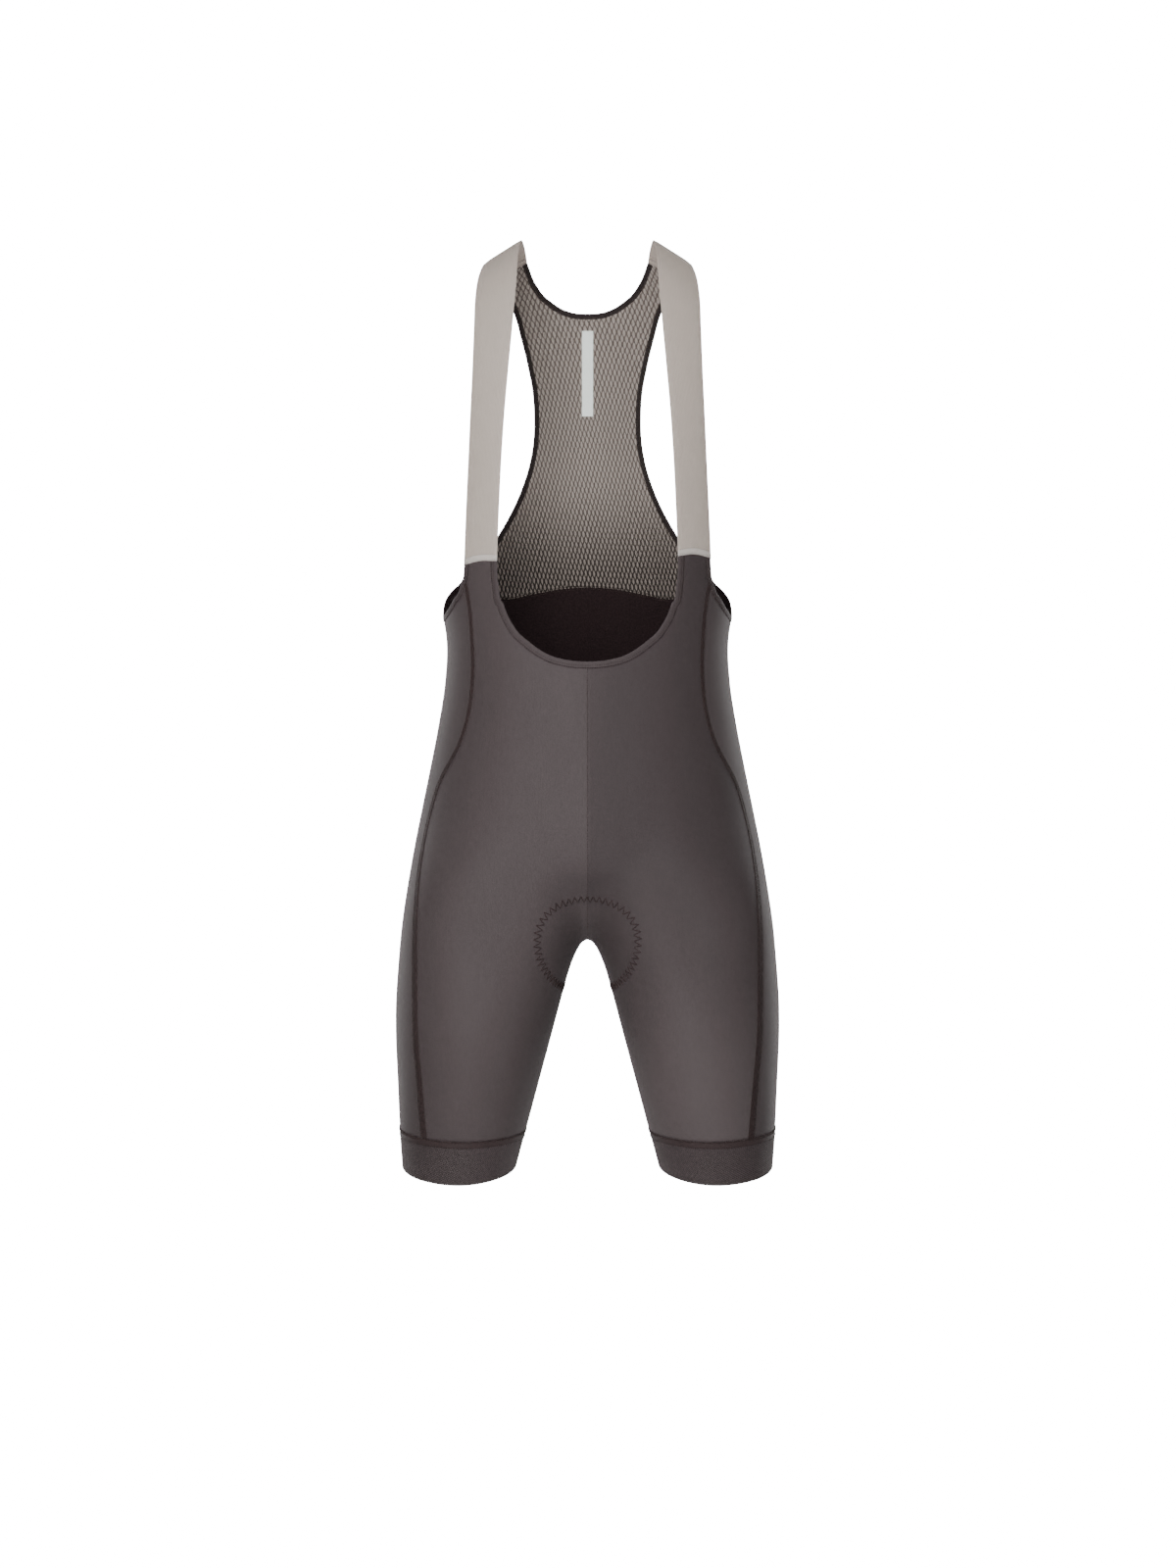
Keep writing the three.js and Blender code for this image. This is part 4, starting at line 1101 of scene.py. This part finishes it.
def add_sewing(name, sewing, tree):
    """The stitches of a seam as one plain mesh."""
    points = np.concatenate(sewing.places) * MM
    mesh = bpy.data.meshes.new(name + "_points")
    mesh.from_pydata(points.tolist(), [], [])
    for key, values in (("turn", sewing.turns), ("size", sewing.sizes)):
        scale = MM if key == "size" else 1.0
        attribute = mesh.attributes.new(key, "FLOAT_VECTOR", "POINT")
        flat = (np.concatenate(values) * scale).astype(np.float32).reshape(-1)
        attribute.data.foreach_set("vector", flat)
    carrier = bpy.data.objects.new(name + "_carrier", mesh)
    bpy.context.scene.collection.objects.link(carrier)
    modifier = carrier.modifiers.new("stitches", "NODES")
    modifier.node_group = tree
    sides = next(s for s in tree.interface.items_tree if s.name == "Sides")
    modifier[sides.identifier] = STITCH_SIDES
    graph = bpy.context.evaluated_depsgraph_get()
    made = bpy.data.meshes.new_from_object(carrier.evaluated_get(graph))
    made.name = name
    bpy.data.objects.remove(carrier)
    bpy.data.meshes.remove(mesh)
    for attribute in [a for a in made.attributes if a.name in ("turn", "size")]:
        made.attributes.remove(attribute)
    return add_object(name, made)


def jersey_look(name, colour, lighter, sheen, nap=0.0):
    """Close warp knit: fine grain, faint upright streaks and a soft sheen; nap mixes in painted shade
    higher up and painted light low on the leg.
    """
    look = Finish(name, colour, 0.62, sheen, 0.3, srgb(214, 204, 206))
    x, y, z = look.body()
    grain = look.noise(look.vector(x, y, z), 1.1, 3.0)
    streak = look.noise(look.vector(x, y, z * 0.08), 0.9)
    cloud = look.noise(look.vector(x, y, z * 0.4), 0.02)
    share = cloud * 0.4 + grain * 0.4 + streak * 0.2
    knit = look.mix(share.step(0.3, 0.7), colour, lighter)
    # Painted shade higher up and painted light low on the leg, as strong as nap
    shaded = look.mix(z.step(-800, -640) * nap, knit, PAINTED_SHADE)
    look.colour(look.mix((1.0 - z.step(-860, -720)) * nap, shaded, PAINTED_LIGHT))
    look.bump(grain * 0.7 + streak * 0.3, 0.12)
    return look.material


def lining_look():
    """The jersey's brushed inner face, dark with painted shade for the inside of the garment."""
    # Its colours are far darker than the outer face: painted shade for the inside
    look = Finish("jersey_inside", srgb(42, 28, 30), 0.95)
    x, y, z = look.body()
    nap = look.noise(look.vector(x, y, z), 0.8, 3.0)
    look.colour(look.mix(nap.step(0.3, 0.7), srgb(36, 23, 25), srgb(47, 33, 35)))
    look.bump(nap, 0.2)
    return look.material


def gripper_look():
    """Knitted elastic with a fine slanting rib."""
    look = Finish("gripper_elastic", srgb(66, 58, 58), 0.7, 0.15, 0.4, srgb(200, 186, 184))
    across, up = look.cloth()
    wobble = look.noise(look.vector(across, up), 0.5)
    rib = ((across * 0.8 + up + wobble * 1.5) * (2 * math.pi / 2.6)).sine() * 0.5 + 0.5
    cross = ((across * 0.8 - up * 0.6) * (2 * math.pi / 1.7)).sine() * 0.5 + 0.5
    knit = rib * 0.7 + cross * 0.3
    look.colour(look.mix(knit, srgb(54, 45, 46), srgb(90, 80, 81)))
    look.bump(knit, 0.3)
    return look.material


def strap_look():
    """Smooth woven elastic with fine lengthwise cords and a paler turned foot."""
    look = Finish("strap_elastic", srgb(202, 192, 184), 0.7, 0.12, 0.4)
    across, up = look.cloth()
    cord = (across * (2 * math.pi / 1.5)).sine() * 0.5 + 0.5
    pick = (up * (2 * math.pi / 1.1)).sine() * 0.5 + 0.5
    nap = look.noise(look.vector(across, up * 0.2), 0.4)
    weave = cord * 0.5 + pick * 0.2 + nap * 0.3
    body = look.mix(weave, srgb(199, 186, 175), srgb(214, 201, 190))
    foot = 1.0 - up.step(5.6, 6.2)
    look.colour(look.mix(foot * 0.7, body, srgb(226, 220, 214)))
    look.bump(weave, 0.12)
    return look.material


def mesh_look():
    """Open knit: pale upright ovals between thin crossing cords, closer and heavier low down, with painted
    shade darkening its colours towards the bottom.
    """
    look = Finish("back_mesh", srgb(150, 142, 134), 0.85)
    across, up = look.cloth()
    rising = ((across / 4.45 - up / 17.7) * math.pi).sine()
    falling = ((across / 4.25 + up / 9.4) * math.pi).sine()
    cell = abs(rising * falling)
    heavy_and_painted_shade = 1.0 - up.step(20, 150)
    eye = (cell - heavy_and_painted_shade * 0.12).step(0.0, 0.55)
    # Cords and cells darken towards the bottom: painted shade
    cords = look.mix(heavy_and_painted_shade, srgb(104, 93, 87), srgb(44, 36, 33))
    cloth = look.mix(heavy_and_painted_shade, srgb(179, 169, 162), srgb(146, 136, 129))
    look.colour(look.mix(eye, cords, cloth))
    look.bump(1.0 - eye, 0.5)
    return look.material


def binding_look():
    """Folded dark tape with a fine rib across."""
    look = Finish("dark_binding", srgb(44, 36, 36), 0.75, 0.1)
    x, y, z = look.body()
    rib = look.noise(look.vector(x, y, z), 1.4, 2.0)
    look.colour(look.mix(rib.step(0.3, 0.7), srgb(36, 28, 28), srgb(54, 45, 44)))
    look.bump(rib, 0.2)
    return look.material


def label_look():
    """Bare pale satin tape with a faint painted glow."""
    look = Finish("label", srgb(246, 250, 247), 0.5)
    across, up = look.cloth()
    satin = look.noise(look.vector(across, up * 3), 0.9)
    look.colour(look.mix(satin.step(0.3, 0.7), srgb(240, 246, 242), srgb(250, 253, 251)))
    look.bump(satin, 0.08)
    # A faint painted glow that brightens the label
    look.bsdf.inputs["Emission Color"].default_value = (0.9, 1.0, 0.94, 1.0)
    look.bsdf.inputs["Emission Strength"].default_value = 0.4
    return look.material


def pad_look():
    """Brushed face of the seat pad."""
    look = Finish("chamois", srgb(60, 54, 54), 0.95, 0.2)
    x, y, z = look.body()
    nap = look.noise(look.vector(x, y, z), 0.7, 3.0)
    look.colour(look.mix(nap.step(0.25, 0.75), srgb(50, 44, 44), srgb(70, 63, 62)))
    look.bump(nap, 0.3)
    return look.material


def thread_look(name, dark, pale):
    look = Finish(name, dark, 0.6, 0.1)
    x, y, z = look.body()
    twist = look.noise(look.vector(x, y, z), 1.8)
    look.colour(look.mix(twist.step(0.3, 0.7), dark, pale))
    look.bump(twist, 0.1)
    return look.material


def paper_look():
    """Even white paper that shows no edge against the room."""
    look = Finish("white_paper", (0.9, 0.9, 0.9), 0.9)
    x, y, _ = look.body()
    tooth = look.noise(look.vector(x * 0.01, y * 0.01), 0.5)
    look.colour(look.mix(tooth, (0.88, 0.88, 0.88), (0.92, 0.92, 0.92)))
    seen = look.tree.add("ShaderNodeLightPath").outputs["Is Camera Ray"]
    glow = look.mix(seen, (0.0, 0.0, 0.0), (1.0, 1.0, 1.0))
    look.tree.feed(look.bsdf.inputs["Emission Color"], glow)
    look.bsdf.inputs["Emission Strength"].default_value = WORLD_SEEN
    return look.material


# How bright the ground and the room look, and how much light the room gives
WORLD_SEEN = 17.0
WORLD_LIGHT = 0.2

# Painted shade for the upper front and painted light for the lower leg, mixed into the cloth's colour
PAINTED_SHADE = srgb(50, 42, 44)
PAINTED_LIGHT = srgb(112, 102, 103)

looks = {
    "jersey": jersey_look("jersey", srgb(79, 70, 71), srgb(86, 77, 78), 0.2),
    "jersey_painted_shading": jersey_look("jersey_painted_shading", srgb(79, 70, 71), srgb(86, 77, 78), 0.2, 0.3),
    "lining": lining_look(),
    "band": jersey_look("jersey_band", srgb(74, 65, 66), srgb(81, 72, 73), 0.25),
    "gripper": gripper_look(),
    "strap": strap_look(),
    "mesh": mesh_look(),
    "binding": binding_look(),
    "label": label_look(),
    "pad": pad_look(),
    "binding_thread": thread_look("binding_thread", srgb(78, 68, 66), srgb(96, 86, 83)),
    "dark_thread": thread_look("dark_thread", srgb(48, 34, 33), srgb(62, 47, 46)),
    "cover_thread": thread_look("cover_thread", srgb(58, 46, 46), srgb(68, 55, 55)),
    "pale_thread": thread_look("pale_thread", srgb(148, 138, 134), srgb(166, 156, 151)),
}
dark_stitches = stitch_tree(looks["dark_thread"])
binding_stitches = stitch_tree(looks["binding_thread"])
pale_stitches = stitch_tree(looks["pale_thread"])

halves = {side: Half(STRAP_FOOT[side]) for side in ("left", "right")}


def add_strip(name, grid, thickness, look, flip=False, inner=None, flat=3):
    """A rounded narrow band from its first row to its last."""
    swell = np.repeat(rounded(len(grid) - 1, flat)[:, None], grid.shape[1], axis=1)
    wall = Wall([grid], thickness, swell=swell, flip=flip)
    add_wall(name, wall, look, inner, False)


def add_half(side, half):
    """The cloth of one side."""
    other = side == "right"

    def turned(grids):
        return [mirror(grid) for grid in grids] if other else grids

    front = Wall(turned(half.front_grids()), JERSEY, flip=other, roll=0.35)
    # The left front's cloth carries painted shade higher up and painted light low on the leg
    cloth = looks["jersey_painted_shading"] if side == "left" else looks["jersey"]
    add_wall(f"front_{side}", front, cloth, looks["lining"])
    back = Wall(turned(half.back_grids()), JERSEY, flip=other, roll=0.35)
    add_wall(f"back_{side}", back, looks["jersey"], looks["lining"])
    name = f"{side}_gripper"
    gripper = Wall(turned(half.gripper_grids()), GRIPPER, flip=other)
    add_wall(name, gripper, looks["gripper"], looks["lining"])
    name = f"{side}_strap"
    grid = turned(half.strap_grids())[0]
    swell = np.repeat(rounded(grid.shape[1] - 1, 8)[None], len(grid), axis=0)
    foot = arc_lengths(grid, 0) < 6.5
    swell = swell * (1 + 0.45 * foot)
    strap = Wall([grid], STRAP, swell=swell, flip=other)
    add_wall(name, strap, looks["strap"], None, False)
    grid = turned([strip_grid(half.arm_panel, half.arm_edge)])[0]
    add_strip(f"{side}_armhole_band", grid, TURNED, looks["band"], other, looks["lining"], 8)
    grid = turned([strip_grid(half.side_panel, half.side_edge)])[0]
    add_strip(f"{side}_mesh_binding", grid, BINDING, looks["binding"], other)


def add_middle():
    """The pieces that cross from one side to the other."""
    left, right = halves["left"], halves["right"]
    grids = mesh_grids(left, {"left": left.mesh_seam, "right": right.mesh_seam})
    wall = Wall(grids, MESH, places=knit_places(grids))
    add_wall("back_mesh", wall, looks["mesh"], None)
    grid = strip_grid(
        both_sides(left.back_neck_edge, left.back_neck_edge),
        both_sides(left.back_neck_panel, left.back_neck_panel),
    )
    add_strip("neck_binding", grid, BINDING, looks["binding"])
    grid = strip_grid(
        both_sides(right.neck_panel, left.neck_panel),
        both_sides(right.neck_edge, left.neck_edge),
    )
    add_strip("scoop_band", grid, TURNED, looks["band"], False, looks["lining"], 8)
    runs = spread(156.5, 79, 30)
    outs = spread(LABEL_WIDTH / 2, -LABEL_WIDTH / 2, 6)
    wall = Wall([wrap_point(outs[None], runs[:, None])], LABEL, -(MESH / 2 + 0.35 + LABEL / 2))
    add_wall("label", wall, looks["label"], None)
    grid = pad_grid()
    across = np.abs(spread(-1, 1, grid.shape[1] - 1))[None]
    along = np.linspace(0, 1, len(grid))[:, None]
    edge = np.minimum(1 - across, np.minimum(along, 1 - along) * 4)
    swell = 0.35 + 0.65 * smooth(edge, 0, 0.3)
    channel = (1 - smooth(across, 0.06, 0.14)) * smooth(along, 0.25, 0.35) * (1 - smooth(along, 0.75, 0.85))
    swell = swell * (1 - 0.5 * channel)
    wall = Wall([grid[:, ::-1]], PAD, -(JERSEY / 2 + 1.8 + PAD / 2), swell=swell[:, ::-1])
    add_wall("chamois", wall, looks["pad"], None)
    return grid


# How far inside the pad's edge its seam runs, apart from the front end
PAD_INSET = 3.5


def ladder_width(at):
    return 7.0 - 3.4 * smooth(at, 120, 420)


def sew_half(side, half):
    """The seams of one side, worked out on the left and mirrored for the right."""
    other = side == "right"
    on_jersey = JERSEY / 2 + 0.1
    side_seam = Line(np.concatenate([half.side_low, half.side_high]))
    grid = side_seam.ribbon(lambda at: -ladder_width(at) / 2, lambda at: ladder_width(at) / 2)
    cover = Wall([mirror(grid) if other else grid], 0.5, JERSEY / 2, flip=other)
    add_cover(f"{side}_side_seam_cover", cover)
    sewing = Sewing(other)
    lift = on_jersey + 0.25
    sewing.rungs(side_seam, lambda at: ladder_width(at) - 0.6, lift, 1.9, 0.75)
    for hand in (-1, 1):
        sewing.row(side_seam, lambda at: hand * ladder_width(at) / 2, lift, 2.2, 2.1, 0.85)
    add_sewing(f"{side}_side_seam", sewing, dark_stitches)

    turns = spread(0, 1, 160)[:-1]
    leg_seam = Line(body_point(turns, seam_height(turns)), closed=True)
    grid = leg_seam.ribbon(-6.4, -0.2)
    cover = Wall([mirror(grid) if other else grid], 0.5, GRIPPER / 2, flip=other)
    add_cover(f"{side}_leg_seam_cover", cover)
    sewing = Sewing(other)
    lift = GRIPPER / 2 + 0.25
    sewing.row(leg_seam, 0.0, lift, 2.4, 2.2, 1.0)
    sewing.row(leg_seam, -6.2, lift, 2.4, 2.0, 0.8)
    sewing.rungs(leg_seam, 4.6, lift, 1.9, 0.7, 0.5)
    add_sewing(f"{side}_leg_seam", sewing, dark_stitches)

    sewing = Sewing(other)
    inseam = Line(half.front_line[:len(INSEAM_ROWS) * FINE + 1])
    sewing.rungs(inseam, 4.4, JERSEY / 2, 1.9, 0.6)
    for hand in (-1, 1):
        sewing.row(inseam, 2.4 * hand, JERSEY / 2, 2.2, 2.2, 0.65)
    add_sewing(f"{side}_inseam", sewing, dark_stitches)

    sewing = Sewing(other)
    arm = Line(half.arm_panel)
    sewing.row(arm, 0.0, TURNED / 2 - 0.1, 2.3, 2.0, 0.7)
    sewing.row(arm, 2.4, TURNED / 2, 2.3, 1.7, 0.6)
    add_sewing(f"{side}_armhole_stitches", sewing, dark_stitches)

    sewing = Sewing(other)
    binding = Line(half.side_panel)
    sewing.row(binding, 1.0, BINDING / 2 - 0.1, 2.3, 1.8, 0.55)
    sewing.row(binding, 1.0, 0.1 - BINDING / 2, 2.3, 1.8, 0.55)
    add_sewing(f"{side}_binding_stitches", sewing, binding_stitches)

    sewing = Sewing(other)
    outs = spread(strap_inner(-330), strap_outer(-330), 20)
    for rise in (6.3, 1.6):
        foot = Line(wrap_point(outs, half.foot_height(outs) + rise))
        sewing.row(foot, 0.0, STRAP / 2 + 0.1, 2.0, 1.5, 0.5, 1.5, 1.5)
    for run in (STRAP_END - 1.5, STRAP_END - 8):
        ends = spread(float(strap_inner(run)), float(strap_outer(run)), 20)
        end = Line(wrap_point(ends, run))
        for lift in (STRAP / 2, -STRAP / 2):
            sewing.row(end, 0.0, lift, 2.0, 1.5, 0.5, 1.5, 1.5)
    run = STRAP_END - 4.7
    ends = spread(float(strap_inner(run)), float(strap_outer(run)), 20)
    for lift in (STRAP / 2, -STRAP / 2):
        sewing.zigzag(Line(wrap_point(ends, run)), 2.2, lift, 3.0, 0.5, 1.5, 1.5)
    add_sewing(f"{side}_strap_stitches", sewing, pale_stitches)


def add_cover(name, wall):
    """A thin layer of threads over a seam."""
    add_object(name, wall_mesh(name, wall, looks["cover_thread"]))


def sew_middle(pad):
    """The seams that cross or follow the middle."""
    left, right = halves["left"], halves["right"]
    sewing = Sewing()
    neck = Line(both_sides(right.neck_panel, left.neck_panel))
    sewing.row(neck, 0.0, TURNED / 2 - 0.2, 2.3, 2.0, 0.75)
    sewing.row(neck, 2.6, TURNED / 2, 2.3, 1.7, 0.6)
    add_sewing("scoop_stitches", sewing, dark_stitches)

    sewing = Sewing()
    start = len(INSEAM_ROWS) * FINE
    front = Line(left.front_line[start:])
    sewing.row(front, 0.0, JERSEY / 2 - 0.38, 2.6, 2.1, 0.6)
    back = Line(left.back_line[start:])
    sewing.row(back, 0.0, JERSEY / 2 - 0.45, 2.6, 2.1, 0.6)
    add_sewing("middle_seam", sewing, dark_stitches)

    sewing = Sewing()
    seam = Line(both_sides(right.mesh_seam[::-1], left.mesh_seam[::-1]))
    for lift in (JERSEY / 2 + 0.1, -JERSEY / 2 - 0.1):
        sewing.rungs(seam, 3.6, lift, 1.9, 0.6)
        for hand in (-1, 1):
            sewing.row(seam, 1.9 * hand, lift, 2.2, 2.0, 0.7)
    add_sewing("mesh_seam", sewing, dark_stitches)

    sewing = Sewing()
    neck = Line(both_sides(left.back_neck_panel, left.back_neck_panel))
    for lift in (BINDING / 2 - 0.1, 0.1 - BINDING / 2):
        sewing.row(neck, -1.2, lift, 2.3, 1.8, 0.6)
    add_sewing("neck_stitches", sewing, binding_stitches)

    outline = np.concatenate([pad[0], pad[1:, -1], pad[-1, -2::-1], pad[-2:0:-1, 0]])
    for _ in range(30):
        outline = (np.roll(outline, 1, 0) + 2 * outline + np.roll(outline, -1, 0)) / 4
    line = Line(outline, closed=True)
    points = line.points[:-1]
    front = smooth(points[:, 2], -705, -668) * smooth(-points[:, 1], 0, 40)
    inset = PAD_INSET * (1 - front)
    line = Line(line.beside(line.at[:-1], inset)[0], closed=True)
    sewing = Sewing()
    sewing.zigzag(line, 4.3, JERSEY / 2 + 0.1, 6.6, 1.1)
    add_sewing("pad_stitches", sewing, dark_stitches)


for side, half in halves.items():
    add_half(side, half)
    sew_half(side, half)
pad = add_middle()
sew_middle(pad)


def light(name, place, aim, size, power):
    data = bpy.data.lights.new(name, "AREA")
    data.shape = "RECTANGLE"
    data.size, data.size_y = size
    data.energy = power
    lamp = bpy.data.objects.new(name, data)
    lamp.location = place
    lamp.rotation_euler = (Vector(aim) - Vector(place)).to_track_quat("-Z", "Y").to_euler()
    lamp.visible_camera = False
    bpy.context.scene.collection.objects.link(lamp)


def add_floor():
    mesh = bpy.data.meshes.new("floor")
    half = 40
    corners = [(-half, -half, FLOOR), (half, -half, FLOOR), (half, half, FLOOR), (-half, half, FLOOR)]
    mesh.from_pydata(corners, [], [(0, 1, 2, 3)])
    mesh.materials.append(paper_look())
    floor = bpy.data.objects.new("floor", mesh)
    bpy.context.scene.collection.objects.link(floor)


FLOOR = -1.6

camera_data = bpy.data.cameras.new("camera")
camera_data.sensor_width = SENSOR
camera_data.lens = CAMERA_DISTANCE * SENSOR / PICTURE_HEIGHT
camera_data.dof.use_dof = False
camera = bpy.data.objects.new("camera", camera_data)
camera.location = (CAMERA_SIDE * MM, -CAMERA_DISTANCE * MM, CAMERA_HEIGHT * MM)
camera.rotation_euler = (math.pi / 2, 0, 0)
bpy.context.scene.collection.objects.link(camera)
bpy.context.scene.camera = camera

add_floor()
world = bpy.data.worlds.new("studio")
world.use_nodes = True
sky = Tree(world.node_tree)
path = sky.add("ShaderNodeLightPath")
seen = Value(sky, path.outputs["Is Camera Ray"])
backdrop = world.node_tree.nodes["Background"]
sky.feed(backdrop.inputs["Strength"], seen * (WORLD_SEEN - WORLD_LIGHT) + WORLD_LIGHT)
backdrop.inputs["Color"].default_value = (1, 1, 1, 1)
bpy.context.scene.world = world

light("key", (-0.2, -0.85, -0.4), (-0.05, 0, -0.5), (0.3, 1.6), 6.5)
light("top", (0.1, -1.0, 0.35), (0.03, 0.08, -0.2), (0.5, 0.3), 3.2)
light("low", (0.05, -0.9, -1.1), (0.02, 0, -0.72), (0.3, 0.3), 1.2)
light("left_back", (-0.95, 0.7, -0.35), (0, 0, -0.5), (0.4, 1.8), 8)
light("right_back", (0.95, 0.7, -0.35), (0, 0, -0.5), (0.4, 1.8), 9)


def declare_half(side):
    sewn = ["armhole_band", "armhole_stitches", "side_seam_cover", "side_seam", "inseam"]
    on_front = [f"{side}_{name}" for name in sewn]
    if side == "left":
        on_front += ["scoop_band", "scoop_stitches", "middle_seam", "pad_stitches"]


for side in halves:
    declare_half(side)
on_mesh = ["neck_binding", "neck_stitches", "label", "mesh_seam"]
on_mesh += [f"{side}_{name}" for side in halves for name in ("mesh_binding", "binding_stitches")]
